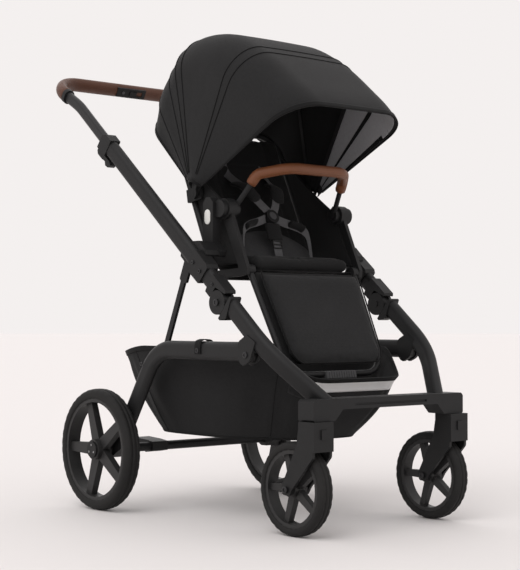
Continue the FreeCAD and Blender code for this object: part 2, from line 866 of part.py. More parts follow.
def wheel_mounts(legs):
    """The brackets at the legs' ends, with the stub axles of the rear wheels."""
    pieces = []
    for name, sign in SIDES:
        _, end = leg_shape(sign)
        outline = [(end.y - 30, end.z + 6), (end.y + 6, end.z + 30), (rear_y + 21, rear_z + 12),
                   (rear_y + 21, rear_z - 14), (rear_y + 8, rear_z - 21), (rear_y - 14, rear_z - 21),
                   (end.y - 26, end.z - 14)]
        shoe = plate(f"mount_shoe_{name}", outline, size("tube_breadth") + 6, place(sign * half_frame, 0, 0), 5)
        inner = half_frame + (mm("tube_breadth") + 6) / 2 - 1
        outer = rear_wheel_middle() + mm("rear_tyre_width") / 2 - 8
        face = rear_wheel_middle() - mm("rear_tyre_width") / 2 - mm("side_gap")
        low, high = sorted((sign * inner, sign * outer))
        stub = rod(f"stub_{name}", size("axle_radius"), (low, rear_y, rear_z), high)
        low, high = sorted((sign * inner, sign * face))
        boss = rod(f"boss_{name}", 15, (low, rear_y, rear_z), high)
        doc.recompute()
        whole = fuse(f"mount_whole_{name}", [shoe, stub, boss])
        pieces.append(cut(f"mount_{name}", whole, [legs[name]]))
    return keep(group("mounts", pieces), "rear_wheel_mounts")


def rear_axle(label):
    inner = half_frame - (mm("tube_breadth") + 6) / 2
    return keep(rod(label, 11, (-inner, rear_y, rear_z - 2), inner), label)


def brake_pedal(label):
    """The pedal that swings on the axle tube."""
    centre = -118.0
    outline = [(rear_y - 17, rear_z - 12), (rear_y + 14, rear_z - 17), (rear_y + 66, rear_z + 8),
               (rear_y + 66, rear_z + 17), (rear_y + 14, rear_z + 14), (rear_y - 17, rear_z + 10)]
    pedal = plate(label + "_body", outline, 46, place(centre, 0, 0), 3)
    bore = rod(label + "_bore", 11 + size("running_gap"), (centre - 40, rear_y, rear_z - 2), centre + 40)
    doc.recompute()
    return keep(cut(label, pedal, [bore]), label)


def fold_links(label):
    """The two slim bars between the upper tubes and the rear legs."""
    top = on_tube(0, LINK_S, LINK_N)
    foot = vec(0, mm("leg_bend_back") - 12, mm("leg_level") + 5)
    run = foot - top
    lean = math.degrees(math.atan2(run.z, run.y))
    length = run.Length
    pieces = []
    for name, sign in SIDES:
        outline = [
            (-13, -13), (66, -13), (70, -7), (length + 10, -7),
            (length + 10, 7), (70, 7), (66, 13), (-13, 13),
        ]
        at = place(sign * link_x, top.y, top.z, lean)
        bar = plate(f"link_{name}", outline, 7, at, 2.5)
        middle = sign * link_x
        bore = rod(f"link_bore_{name}", LINK_PIN + size("running_gap"), (middle - 8, top.y, top.z), middle + 8)
        doc.recompute()
        pieces.append(cut(f"link_open_{name}", bar, [bore]))
    doc.recompute()
    return keep(group("links", pieces), label)


BASKET_TOP = [(-300, 150), (-235, 192), (-120, 204), (150, 206), (384, 196)]
BASKET_BOTTOM = [(-190, 110), (-165, 140), (-100, 160), (130, 172), (268, 160)]


def basket_ring(stations, height, inset):
    """A closed outline in plan, from back to front on one side and back on the other."""
    front, back = stations[0][0] + inset, stations[-1][0] - inset
    half = [(min(max(y, front), back), x - inset) for y, x in stations]
    points = [vec(x, y, height) for y, x in half]
    points += [vec(-x, y, height) for y, x in reversed(half)]
    return Part.makePolygon(points + points[:1])


def basket(label):
    """The under-seat bag: a thin tray with sloping walls, open at the top, lower in front."""
    floor = mm("basket_floor")
    wall = mm("basket_wall")
    rim = mm("leg_level") - 7
    rings = [basket_ring(BASKET_BOTTOM, floor, 0), basket_ring(BASKET_TOP, rim, 0)]
    outer = Part.makeLoft(rings, True, True)
    inner = Part.makeLoft(
        [basket_ring(BASKET_BOTTOM, floor + wall, wall), basket_ring(BASKET_TOP, rim + 1, wall)], True, True
    )
    shell = outer.cut(inner)
    front_gap = Part.makeBox(600, 120, 100, vec(-300, -345, rim - 58))
    return keep(shaped(label, shell.cut(front_gap)), label)


# ---------------------------------------------------------------- wheels


def tyre(label, x, y, radius, width, depth):
    half = width / 2
    shoulder = width * 0.22
    outline = [(-half, radius - depth), (half, radius - depth), (half, radius - depth * 0.42),
               (half - shoulder * 0.45, radius - depth * 0.14), (half - shoulder, radius - depth * 0.02),
               (0, radius), (-half + shoulder, radius - depth * 0.02),
               (-half + shoulder * 0.45, radius - depth * 0.14), (-half, radius - depth * 0.42)]
    return keep(spun(label, outline, place(x, y, radius)), label)


def rim(label, x, y, radius, width, depth, hub, spoke_width):
    """A moulded rim: the ring under the tyre, the bored hub and five spokes, one body."""
    outer = radius - depth
    inner = outer - size("rim_depth")
    half = width / 2 - 3
    bore = size("axle_radius") + size("running_gap")
    body = spun(
        label + "_ring",
        [(-half, inner), (half, inner), (half, outer), (-half, outer)],
        place(x, y, radius),
        (hub - 3, inner + 2, spoke_width, width * 0.42),
    )
    hub_half = width / 2
    core = doc.addObject("Part::Cylinder", label + "_hub")
    bind(core, "Radius", hub)
    bind(core, "Height", hub_half * 2)
    core.Placement = FreeCAD.Placement(
        vec(float(x) - float(hub_half), y, radius), FreeCAD.Rotation(vec(0, 1, 0), 90.0)
    )
    hole = rod(label + "_bore", bore, (float(x) - 60, y, radius), float(x) + 60)
    doc.recompute()
    return keep(cut(label, fuse(label + "_whole", [body, core]), [hole]), label)


def hub_caps(name, sign):
    """The domed cap that closes a rear hub on its outer side."""
    face = rear_wheel_middle() + mm("rear_tyre_width") / 2
    low, high = sorted((sign * face, sign * (face + 5)))
    cap = rod(f"hub_cap_{name}", 19, (low, rear_y, rear_z), high)
    return keep(cap, f"rear_hub_cap_{name}")


def caster(name, sign):
    """A swivelling fork: a head with its stem, a wheel arch, and two arms to the axle."""
    x = sign * mm("front_track") / 2
    axle_y = -mm("front_axle_ahead")
    axle_z = mm("front_wheel_radius")
    inner_half = mm("front_tyre_width") / 2 + 3.5
    arm = 7.0
    bottom = mm("beam_top") - mm("beam_height")
    gap = mm("side_gap")
    head_top = bottom - gap
    head = block(f"head_{name}", inner_half * 2 + arm * 2, 48, 62, (x, stem_y, head_top - 31))
    doc.recompute()
    outline = [(stem_y - 22, head_top - 14), (stem_y + 24, head_top - 14), (stem_y + 30, head_top - 50),
               (axle_y + 15, axle_z + 6), (axle_y + 12, axle_z - 11), (axle_y - 9, axle_z - 13),
               (axle_y - 18, axle_z + 2), (stem_y - 19, head_top - 74)]
    arms = [
        plate(f"arm_{name}_{tag}", outline, arm, place(x + side * (inner_half + arm / 2), 0, 0), 5)
        for tag, side in (("outer", 1), ("inner", -1))
    ]
    arch = rod(f"arch_{name}", size("front_wheel_radius") + 6, (x - inner_half, axle_y, axle_z), x + inner_half)
    stem = post(f"stem_{name}", 12, size("beam_height") - 10, (x, stem_y, head_top - 2))
    bolt_half = inner_half + arm + 3
    bolt = rod(f"bolt_{name}", size("axle_radius"), (x - bolt_half, axle_y, axle_z), x + bolt_half)
    well = block(f"well_{name}", 16.6, 12, 20.6, (x, stem_y - 22, head_top - 26))
    doc.recompute()
    solid = fuse(f"fork_solid_{name}", [head] + arms)
    open_fork = cut(f"fork_open_{name}", solid, [arch, well])
    keep(fuse(f"fork_whole_{name}", [open_fork, stem, bolt]), f"caster_fork_{name}")
    button = block(f"lock_{name}", 16, 9, 20, (x, stem_y - 22.5, head_top - 26))
    keep(button, f"swivel_lock_{name}")


# ---------------------------------------------------------------- seat

seat_half = mm("seat_width") / 2
joint_y = -mm("leg_joint_ahead")
seat_z = mm("seat_level")
joint_z = seat_z + 2
back_lean = math.radians(mm("back_lean"))
BACK_ALONG = vec(0, math.cos(back_lean), math.sin(back_lean))
BACK_OUT = vec(0, -math.sin(back_lean), math.cos(back_lean))
BACK_FOOT = vec(0, 18, seat_z - 10)
arm_x = seat_half - 5
inner_x = seat_half - 19
canopy_half = mm("canopy_width") / 2


def seat_frame(label):
    """Both side arms with their hubs, the rails under the seat and the two cross tubes."""
    pieces = []
    for name, sign in SIDES:
        at = place(sign * arm_x, 0, 0)
        arm = plate(
            f"seat_arm_{name}",
            [(hub_y - 19, hub_z - 8), (hub_y + 15, hub_z - 10), (joint_y + 17, joint_z + 10),
             (joint_y + 14, joint_z - 12), (joint_y - 12, joint_z - 13), (joint_y - 14, joint_z + 6)],
            10, at, 3,
        )
        rail = plate(
            f"seat_rail_{name}",
            [
                (joint_y, joint_z - 13), (joint_y + 8, joint_z + 5),
                (BACK_FOOT.y + 12, seat_z), (BACK_FOOT.y + 12, seat_z - 19),
            ],
            10, at, 2,
        )
        low, high = sorted((sign * (arm_x - 13), sign * (seat_half + HUB_REACH)))
        hub = rod(f"seat_hub_{name}", size("hub_radius"), (low, hub_y, hub_z), high)
        pieces += [arm, rail, hub]
    for tag, y in (("front", -40.0), ("back", BACK_FOOT.y)):
        pieces.append(rod(f"seat_cross_{tag}", 8, (-arm_x, y, BACK_FOOT.z), arm_x))
    doc.recompute()
    whole = fuse("seat_frame_whole", pieces)
    wells = []
    for name, sign in SIDES:
        low, high = sorted((sign * (arm_x - 18), sign * (arm_x + 3)))
        wells.append(rod(f"hub_well_{name}", 8 + size("slide_gap"), (low, hub_y, hub_z), high))
    doc.recompute()
    return keep(cut("seat_frame", whole, wells), label)


def hub_buttons():
    """The round buttons in the hubs' inner faces that free the seat's tilt."""
    for name, sign in SIDES:
        low, high = sorted((sign * (arm_x - 28), sign * (arm_x - 3)))
        keep(rod(f"tilt_{name}", 8, (low, hub_y, hub_z), high), f"tilt_button_{name}")


def back_frame(label, seat):
    """The tube round the backrest, with the plates that the canopy turns on."""
    foot = BACK_FOOT
    top = foot + BACK_ALONG * mm("back_length")
    left = vec(inner_x, 0, 0)
    shape = sweep(
        [foot + left, top + left, top - left, foot - left], [60.0, 60.0], 16.0, 16.0
    )
    tube = shaped("back_tube", shape)
    pivot_y = mm("canopy_pivot_back")
    pivot_z = mm("canopy_pivot_height")
    pieces = [tube]
    for name, sign in SIDES:
        reach = foot + BACK_ALONG * ((pivot_z - foot.z) / math.sin(back_lean))
        ear = plate(
            f"canopy_ear_{name}",
            [
                (pivot_y - 15, pivot_z - 12), (reach.y + 2, pivot_z - 20),
                (reach.y + 8, pivot_z + 12), (pivot_y - 13, pivot_z + 13),
            ],
            8, place(sign * (inner_x + 10), 0, 0), 3,
        )
        low, high = sorted((sign * (inner_x + 12), sign * (canopy_half - 2.6)))
        pieces += [ear, rod(f"canopy_pin_{name}", 5, (low, pivot_y, pivot_z), high)]
    doc.recompute()
    whole = fuse("back_frame_whole", pieces)
    return keep(cut("back_frame", whole, [seat]), label)


def leg_rest_points():
    lean = math.radians(mm("leg_rest_lean"))
    down = vec(0, -math.sin(lean), -math.cos(lean))
    top = vec(inner_x, joint_y, joint_z)
    low = top + down * mm("leg_rest_length") - vec(14, 0, 0)
    return top, low, down


def leg_rest_frame(label):
    """The looped tube of the leg rest, hinged beside the seat's arms."""
    top, low, down = leg_rest_points()
    shape = sweep(
        [top, low, vec(-low.x, low.y, low.z), vec(-top.x, top.y, top.z)], [62.0, 62.0], 14.0, 14.0
    )
    tube = shaped("leg_rest_tube", shape)
    pieces = [tube]
    for name, sign in SIDES:
        low_x, high_x = sorted((sign * (inner_x - 8.5), sign * (arm_x - 5 - mm("side_gap"))))
        pieces.append(rod(f"leg_rest_hub_{name}", 13, (low_x, joint_y, joint_z), high_x))
    doc.recompute()
    return keep(fuse("leg_rest_frame", pieces), label)


def leg_rest_soft(frame):
    top, low, down = leg_rest_points()
    lean = mm("leg_rest_lean")
    out = vec(0, -down.z, down.y)
    middle = top + down * (mm("leg_rest_length") / 2 + 2) - out * 15
    length = mm("leg_rest_length") - 26
    pad_width = inner_x * 2 - 24
    soft = soft_block("leg_pad", pad_width - 10, 20, length, (0, middle.y, middle.z), -lean, 6)
    keep(soft, "leg_rest_pad")
    foot = block("foot_pad_box", 94, 28, 23, (0, low.y - 2, low.z - 4), -lean / 2)
    doc.recompute()
    keep(cut("foot_pad", foot, [frame]), "footrest_pad")


def cushions():
    """The plain closed solids of the seat's cushion and the backrest."""
    depth = size("cushion_depth")
    soft = soft_block("seat_pad", inner_x * 2 - 22, 148, depth, (0, -26, seat_z + mm("cushion_depth") / 2), 0, 10)
    keep(soft, "seat_cushion")
    middle = BACK_FOOT + BACK_ALONG * (mm("back_length") * 0.54) + BACK_OUT * 2
    back = soft_block(
        "back_pad", inner_x * 2 - 22, mm("back_length") * 0.8, depth, (0, middle.y, middle.z), mm("back_lean"), 10
    )
    keep(back, "backrest_cushion")


BUCKLE = vec(0, 10, 700)
STRAP_THICKNESS = 2.0


def harness():
    """The buckle, its button, the webbing and the pads of the five-point harness."""
    lean = 62.0
    turn = FreeCAD.Rotation(X_AXIS, lean)
    face = turn.multVec(vec(0, 0, 1))
    shell = doc.addObject("Part::Cylinder", "buckle_shell")
    bind(shell, "Radius", 18)
    bind(shell, "Height", 14)
    shell.Placement = FreeCAD.Placement(BUCKLE - face * 7, turn)
    well = doc.addObject("Part::Cylinder", "buckle_well")
    bind(well, "Radius", 10.4)
    bind(well, "Height", 10)
    well.Placement = FreeCAD.Placement(BUCKLE - face * 1, turn)
    doc.recompute()
    keep(cut("harness_buckle", shell, [well]), "harness_buckle")
    button = doc.addObject("Part::Cylinder", "buckle_press")
    bind(button, "Radius", 10)
    bind(button, "Height", 6)
    button.Placement = FreeCAD.Placement(BUCKLE + face * 2, turn)
    keep(button, "buckle_button")
    shoulder = BACK_FOOT + BACK_ALONG * 285 + BACK_OUT * 22
    hip = BACK_FOOT + BACK_ALONG * 66 + BACK_OUT * 22
    crotch = vec(0, -18, seat_z + mm("cushion_depth") + 1)
    bands = []
    pads = []
    for sign in (1, -1):
        top = vec(sign * 58, shoulder.y, shoulder.z)
        low = BUCKLE + vec(sign * 17, 4, 17)
        bands.append(strap(top, low, vec(1, 0, 0), 22, STRAP_THICKNESS))
        side = vec(sign * 128, hip.y - 10, hip.z)
        near = BUCKLE + vec(sign * 21, 3, -6)
        bands.append(strap(side, near, vec(0, 0, 1), 20, STRAP_THICKNESS))
        middle = top + (low - top) * 0.42
        pads.append(strap(middle + (top - low) * 0.28, middle - (top - low) * 0.28, vec(1, 0, 0), 34, 10))
    bands.append(strap(crotch, BUCKLE + vec(0, 1, -20), vec(1, 0, 0), 22, STRAP_THICKNESS))
    run = BUCKLE + vec(0, 1, -26) - crotch
    pads.append(strap(crotch + run * 0.18, crotch + run * 0.95, vec(1, 0, 0), 40, 9))
    webbing = Part.makeCompound([band.cut(Part.makeCompound(pads)) for band in bands])
    keep(shaped("harness_straps", Part.makeCompound(webbing.Solids + pads)), "harness_straps")


def bumper():
    """The bumper bar: hinged arms that lean inwards, the bar itself and its stitched cover."""
    eye_x = arm_x - 13 - mm("side_gap") - 6
    start = vec(eye_x, hub_y, hub_z)
    corner = vec(134, -96, 786)
    front = vec(86, -150, 799)
    points = [start, corner, front]
    points += [vec(-p.x, p.y, p.z) for p in reversed(points)]
    radii = [38.0, 62.0, 62.0, 38.0]
    bar = shaped("bumper_tube", sweep(points, radii, 12.0, 12.0))
    pieces = [bar]
    wells = []
    for name, sign in SIDES:
        low, high = sorted((sign * (eye_x - 6), sign * (eye_x + 6)))
        pieces.append(rod(f"bumper_eye_{name}", 17, (low, hub_y, hub_z), high))
        wells.append(rod(f"bumper_well_{name}", 8 + size("slide_gap") * 2, (low - 8, hub_y, hub_z), high + 8))
    doc.recompute()
    solid = fuse("bumper_solid", pieces)
    keep(cut("bumper_frame", solid, wells), "bumper_bar")
    into = start + (corner - start) * 0.72
    cover_points = [into] + points[1:-1] + [vec(-into.x, into.y, into.z)]
    sleeve = shaped("bumper_sleeve", sweep(cover_points, [20.0, 62.0, 62.0, 20.0], 26.0, 26.0))
    doc.recompute()
    keep(cut("bumper_cover", sleeve, [bar]), "bumper_cover")


# ---------------------------------------------------------------- canopy

# each station: angle about the canopy's pivot from the back, reach to the top, and how
# much the half width differs from the canopy's own
CANOPY_STATIONS = [(46, 292, -14), (62, 326, -4), (80, 374, 0), (99, 380, 3),
                   (118, 360, 3), (135, 366, 0), (153, 386, -8)]
CANOPY_CORNER = 86.0
CANOPY_ROOT = 34.0


def canopy_point(x, reach, angle):
    turn = math.radians(angle)
    return vec(
        x,
        mm("canopy_pivot_back") + reach * math.cos(turn),
        mm("canopy_pivot_height") + reach * math.sin(turn),
    )


def arch_points(angle, top, half, corner, root):
    """The five marks of an arch in a plane through the canopy's pivot: two legs, two corners."""
    inside = corner * (1 - math.sqrt(0.5))
    return [
        canopy_point(half, root, angle),
        canopy_point(half, top - corner, angle),
        canopy_point(half - inside, top - inside, angle),
        canopy_point(half - corner, top, angle),
    ]


def arch_edges(marks):
    """Leg, corner, top, corner, leg, from the left foot to the right foot."""
    other = [vec(-p.x, p.y, p.z) for p in marks]
    edges = [
        Part.LineSegment(marks[0], marks[1]).toShape(),
        Part.Arc(marks[1], marks[2], marks[3]).toShape(),
        Part.LineSegment(marks[3], other[3]).toShape(),
        Part.Arc(other[3], other[2], other[1]).toShape(),
        Part.LineSegment(other[1], other[0]).toShape(),
    ]
    return edges


def canopy_fabric(label):
    """The canopy as a thin closed shell, open in front and below."""
    wall = mm("canopy_wall")
    wires = []
    for angle, top, narrowing in CANOPY_STATIONS:
        half = canopy_half + narrowing
        outer = arch_points(angle, top, half, CANOPY_CORNER, CANOPY_ROOT)
        inner = arch_points(angle, top - wall, half - wall, CANOPY_CORNER - wall, CANOPY_ROOT)
        other_outer = vec(-outer[0].x, outer[0].y, outer[0].z)
        other_inner = vec(-inner[0].x, inner[0].y, inner[0].z)
        edges = arch_edges(outer)
        edges.append(Part.LineSegment(other_outer, other_inner).toShape())
        edges += arch_edges(inner)
        edges.append(Part.LineSegment(inner[0], outer[0]).toShape())
        wires.append(Part.Wire(Part.__sortEdges__(edges)))
    return keep(shaped(label, Part.makeLoft(wires, True, False)), label)


def canopy_bow(label, angle, top, half):
    """A flat bow that holds the canopy out, with an eye at each end."""
    marks = arch_points(angle, top, half, CANOPY_CORNER - 4, 0)
    path = Part.Wire(arch_edges(marks))
    turn = math.radians(angle)
    across = vec(0, -math.sin(turn), math.cos(turn))
    strip = 5.0
    thick = 1.4
    start = marks[0]
    around = ((-1, -1), (1, -1), (1, 1), (-1, 1))
    corners = [start + across * (strip * i) + vec(thick * j, 0, 0) for i, j in around]
    profile = Part.makePolygon(corners + corners[:1])
    solid = path.makePipeShell([profile], True, False)
    pivot_y = mm("canopy_pivot_back")
    pivot_z = mm("canopy_pivot_height")
    pieces = [shaped(label + "_strip", solid)]
    for name, sign in SIDES:
        low, high = sorted((sign * (half - thick), sign * (half + thick)))
        pieces.append(rod(f"{label}_eye_{name}", 13, (low, pivot_y, pivot_z), high))
    bore = rod(label + "_bore", 5 + size("running_gap"), (-half - 20, pivot_y, pivot_z), half + 20)
    doc.recompute()
    return keep(cut(label, fuse(label + "_whole", pieces), [bore]), label)


# ---------------------------------------------------------------- assembly

lower_tubes = {name: lower_tube(f"lower_tube_{name}", sign) for name, sign in SIDES}
for name, sign in SIDES:
    knuckle_lower(f"knuckle_lower_{name}", sign, lower_tubes[name])
leg_brackets(lower_tubes)
front_beam(lower_tubes)

upper_tubes = {name: upper_tube(f"upper_tube_{name}", sign) for name, sign in SIDES}
for name, sign in SIDES:
    knuckle_upper(f"knuckle_upper_{name}", sign, upper_tubes[name])
    seat_mount(f"seat_mount_{name}", sign, upper_tubes[name])
telescopic_collars(upper_tubes)
link_housings(upper_tubes)

handle = handle_frame()
handle_grip(handle)
fold_release(handle)
for name, sign in SIDES:
    flip_lever(f"height_lever_{name}", sign)

legs = {name: rear_leg(f"rear_leg_{name}", sign) for name, sign in SIDES}
wheel_mounts(legs)
rear_axle("rear_axle_tube")
brake_pedal("brake_pedal")
fold_links("fold_links")
basket("basket_bag")

for name, sign in SIDES:
    rear_x = sign * rear_wheel_middle()
    rear = (size("rear_wheel_radius"), size("rear_tyre_width"), size("rear_tyre_depth"))
    tyre(f"rear_tyre_{name}", rear_x, rear_y, *rear)
    rim(f"rear_rim_{name}", rear_x, rear_y, *rear, size("rear_hub_radius"), size("rear_spoke_width"))
    hub_caps(name, sign)
    front_x = sign * mm("front_track") / 2
    front = (size("front_wheel_radius"), size("front_tyre_width"), size("front_tyre_depth"))
    front_y = -mm("front_axle_ahead")
    tyre(f"front_tyre_{name}", front_x, front_y, *front)
    rim(f"front_rim_{name}", front_x, front_y, *front, size("front_hub_radius"), size("front_spoke_width"))
    caster(name, sign)

seat = seat_frame("seat_frame")
hub_buttons()
back_frame("back_frame", seat)
leg_rest = leg_rest_frame("leg_rest_frame")
leg_rest_soft(leg_rest)
cushions()
harness()
bumper()
canopy_fabric("canopy_fabric")
canopy_bow("canopy_front_bow", 118, 360 - 6, canopy_half - 4.2)
canopy_bow("canopy_middle_bow", 80, 374 - 6, canopy_half - 8.2)

# ---------------------------------------------------------------- checks and export

doc.recompute()
for obj in doc.Objects:
    if "Invalid" in obj.State or "Error" in obj.State:
        raise ValueError(f"{obj.Name} failed: {obj.State}")
faulty = [
    obj.Label for obj in NODES
    if obj.Shape.isNull() or not obj.Shape.isValid() or obj.Shape.Volume <= 0
]
if faulty:
    raise ValueError(f"no valid solid: {faulty}")

# the parts are written with the origin on the floor, under the middle of the stroller
around = FreeCAD.BoundBox()
for obj in NODES:
    around.add(obj.Shape.optimalBoundingBox())
to_origin = vec(-around.Center.x, -around.Center.y, -around.ZMin)

os.makedirs("parts", exist_ok=True)
for obj in NODES:
    written = obj.Shape.copy()
    written.translate(to_origin)
    written.exportStep(os.path.join("parts", obj.Label + ".step"))
print(f"{len(NODES)} sub-parts written, moved by {tuple(round(v, 3) for v in to_origin)}")
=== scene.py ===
import json
import math

import bmesh
import bpy
from mathutils import Matrix, Vector, noise


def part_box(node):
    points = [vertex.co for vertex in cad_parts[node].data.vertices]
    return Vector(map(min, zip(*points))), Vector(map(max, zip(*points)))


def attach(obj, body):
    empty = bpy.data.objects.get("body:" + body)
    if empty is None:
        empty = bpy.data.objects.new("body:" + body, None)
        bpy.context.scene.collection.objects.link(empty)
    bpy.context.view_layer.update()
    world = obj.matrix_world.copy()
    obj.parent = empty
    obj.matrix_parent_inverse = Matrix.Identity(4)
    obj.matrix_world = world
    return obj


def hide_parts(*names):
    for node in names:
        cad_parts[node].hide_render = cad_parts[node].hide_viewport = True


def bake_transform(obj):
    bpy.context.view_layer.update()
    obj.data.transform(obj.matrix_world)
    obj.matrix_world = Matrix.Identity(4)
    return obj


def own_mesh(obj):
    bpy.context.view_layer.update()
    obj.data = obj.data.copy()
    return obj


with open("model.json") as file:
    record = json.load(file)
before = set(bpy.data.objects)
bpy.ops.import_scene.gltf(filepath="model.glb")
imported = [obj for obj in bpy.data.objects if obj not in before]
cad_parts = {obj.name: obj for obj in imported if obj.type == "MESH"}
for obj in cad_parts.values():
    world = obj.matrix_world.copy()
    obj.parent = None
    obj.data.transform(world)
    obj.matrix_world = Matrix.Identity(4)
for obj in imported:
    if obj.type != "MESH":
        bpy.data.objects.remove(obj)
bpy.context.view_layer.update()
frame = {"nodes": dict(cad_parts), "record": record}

# ---- places

MIDDLE = -102.755  # how far the stroller's own zero lies behind the middle of its box, in mm
SIDES = (("left", 1), ("right", -1))


def at(x, y, z):
    """A point given in mm from the stroller's own zero, as a point of the frame in metres."""
    return Vector((x, y + MIDDLE, z)) / 1000


def mix(a, b, t):
    return a + (b - a) * t


def ramp(t, low, high):
    """0 below low, 1 above high, smooth between."""
    t = min(max((t - low) / (high - low), 0.0), 1.0)
    return t * t * (3 - 2 * t)


def along_table(table, t):
    """A smooth reading of a table of (t, values...) rows."""
    if t <= table[0][0]:
        return table[0][1:]
    if t >= table[-1][0]:
        return table[-1][1:]
    i = max(k for k in range(len(table) - 1) if table[k][0] <= t)
    before = table[max(i - 1, 0)]
    after = table[min(i + 2, len(table) - 1)]
    a, b = table[i], table[i + 1]
    f = (t - a[0]) / (b[0] - a[0])
    out = []
    for k in range(1, len(a)):
        slope_a = (b[k] - before[k]) / (b[0] - before[0]) * (b[0] - a[0])
        slope_b = (after[k] - a[k]) / (after[0] - a[0]) * (b[0] - a[0])
        h = f * f * (3 - 2 * f)
        out.append(a[k] + (b[k] - a[k]) * h + slope_a * (f - 1) ** 2 * f + slope_b * (f - 1) * f * f)
    return tuple(out)


# ---- shader groups


SURFACE = [("Color", "NodeSocketColor"), ("Roughness", "NodeSocketFloat"), ("Height", "NodeSocketFloat")]


def new_group(name, inputs, outputs):
    tree = bpy.data.node_groups.new(name, "ShaderNodeTree")
    for label, kind, value in inputs:
        socket = tree.interface.new_socket(label, in_out="INPUT", socket_type=kind)
        if value is not None:
            socket.default_value = value
    for label, kind in outputs:
        tree.interface.new_socket(label, in_out="OUTPUT", socket_type=kind)
    return tree, tree.nodes.new("NodeGroupInput"), tree.nodes.new("NodeGroupOutput")


def math_node(tree, operation, a, b=None):
    node = tree.nodes.new("ShaderNodeMath")
    node.operation = operation
    for socket, value in zip(node.inputs, (a, b)):
        if value is None:
            continue
        if isinstance(value, (int, float)):
            socket.default_value = value
        else:
            tree.links.new(value, socket)
    return node.outputs[0]


def plus(tree, a, b):
    return math_node(tree, "ADD", a, b)


def minus(tree, a, b):
    return math_node(tree, "SUBTRACT", a, b)


def times(tree, a, b):
    return math_node(tree, "MULTIPLY", a, b)


def tint(tree, tone, inside, dark, light):
    """Reads tone between two of the group's own colours."""
    colour = colour_mix(tree, tone, (0, 0, 0), (1, 1, 1))
    tree.links.new(inside.outputs[dark], colour.node.inputs[6])
    tree.links.new(inside.outputs[light], colour.node.inputs[7])
    return colour


def noise_node(tree, vector, scale, detail=2.0):
    node = tree.nodes.new("ShaderNodeTexNoise")
    node.inputs["Scale"].default_value = scale
    node.inputs["Detail"].default_value = detail
    tree.links.new(vector, node.inputs["Vector"])
    return node.outputs["Fac"]


def colour_mix(tree, fac, a, b):
    node = tree.nodes.new("ShaderNodeMix")
    node.data_type = "RGBA"
    if isinstance(fac, (int, float)):
        node.inputs[0].default_value = fac
    else:
        tree.links.new(fac, node.inputs[0])
    for socket, value in ((node.inputs[6], a), (node.inputs[7], b)):
        if isinstance(value, (tuple, list)):
            socket.default_value = (*value[:3], 1)
        else:
            tree.links.new(value, socket)
    return node.outputs[2]


def weave_group():
    """Crossing threads with a heathered tone: colour, roughness and thread height."""
    tree, inside, outside = new_group(
        "cloth_weave",
        [("Vector", "NodeSocketVector", None), ("Threads", "NodeSocketFloat", 900.0),
         ("Dark", "NodeSocketColor", (0, 0, 0, 1)), ("Light", "NodeSocketColor", (1, 1, 1, 1))],
        SURFACE,
    )
    parts = tree.nodes.new("ShaderNodeSeparateXYZ")
    tree.links.new(inside.outputs["Vector"], parts.inputs[0])
    across = math_node(tree, "SINE", times(tree, parts.outputs[0], inside.outputs["Threads"]))
    along = math_node(tree, "SINE", times(tree, parts.outputs[1], inside.outputs["Threads"]))
    third = math_node(tree, "SINE", times(tree, parts.outputs[2], inside.outputs["Threads"]))
    threads = times(tree, plus(tree, across, third), along)
    fine = noise_node(tree, inside.outputs["Vector"], 1500.0, 3.0)
    broad = noise_node(tree, inside.outputs["Vector"], 160.0, 4.0)
    soft = noise_node(tree, inside.outputs["Vector"], 9.0, 3.0)
    tone = plus(tree, times(tree, fine, 0.55), times(tree, broad, 0.5))
    tone = plus(tree, tone, times(tree, threads, 0.06))
    tone = plus(tree, tone, times(tree, minus(tree, soft, 0.5), 0.35))
    colour = tint(tree, tone, inside, "Dark", "Light")
    tree.links.new(colour, outside.inputs["Color"])
    rough = plus(tree, times(tree, fine, 0.15), 0.8)
    tree.links.new(rough, outside.inputs["Roughness"])
    height = plus(tree, times(tree, threads, 0.35), fine)
    tree.links.new(height, outside.inputs["Height"])
    return tree


def pebble_group():
    """Leather grain: pores between pebbles, and softly mottled dye."""
    tree, inside, outside = new_group(
        "leather_pebble",
        [("Vector", "NodeSocketVector", None), ("Pebbles", "NodeSocketFloat", 900.0),
         ("Dark", "NodeSocketColor", (0, 0, 0, 1)), ("Light", "NodeSocketColor", (1, 1, 1, 1))],
        SURFACE,
    )
    cells = tree.nodes.new("ShaderNodeTexVoronoi")
    cells.feature = "DISTANCE_TO_EDGE"
    tree.links.new(inside.outputs["Vector"], cells.inputs["Vector"])
    tree.links.new(inside.outputs["Pebbles"], cells.inputs["Scale"])
    pores = math_node(tree, "MINIMUM", times(tree, cells.outputs["Distance"], 6.0), 1.0)
    dye = noise_node(tree, inside.outputs["Vector"], 26.0, 4.0)
    tone = plus(tree, times(tree, pores, 0.45), times(tree, dye, 0.55))
    colour = tint(tree, tone, inside, "Dark", "Light")
    tree.links.new(colour, outside.inputs["Color"])
    rough = minus(tree, 0.62, times(tree, dye, 0.22))
    tree.links.new(rough, outside.inputs["Roughness"])
    tree.links.new(pores, outside.inputs["Height"])
    return tree


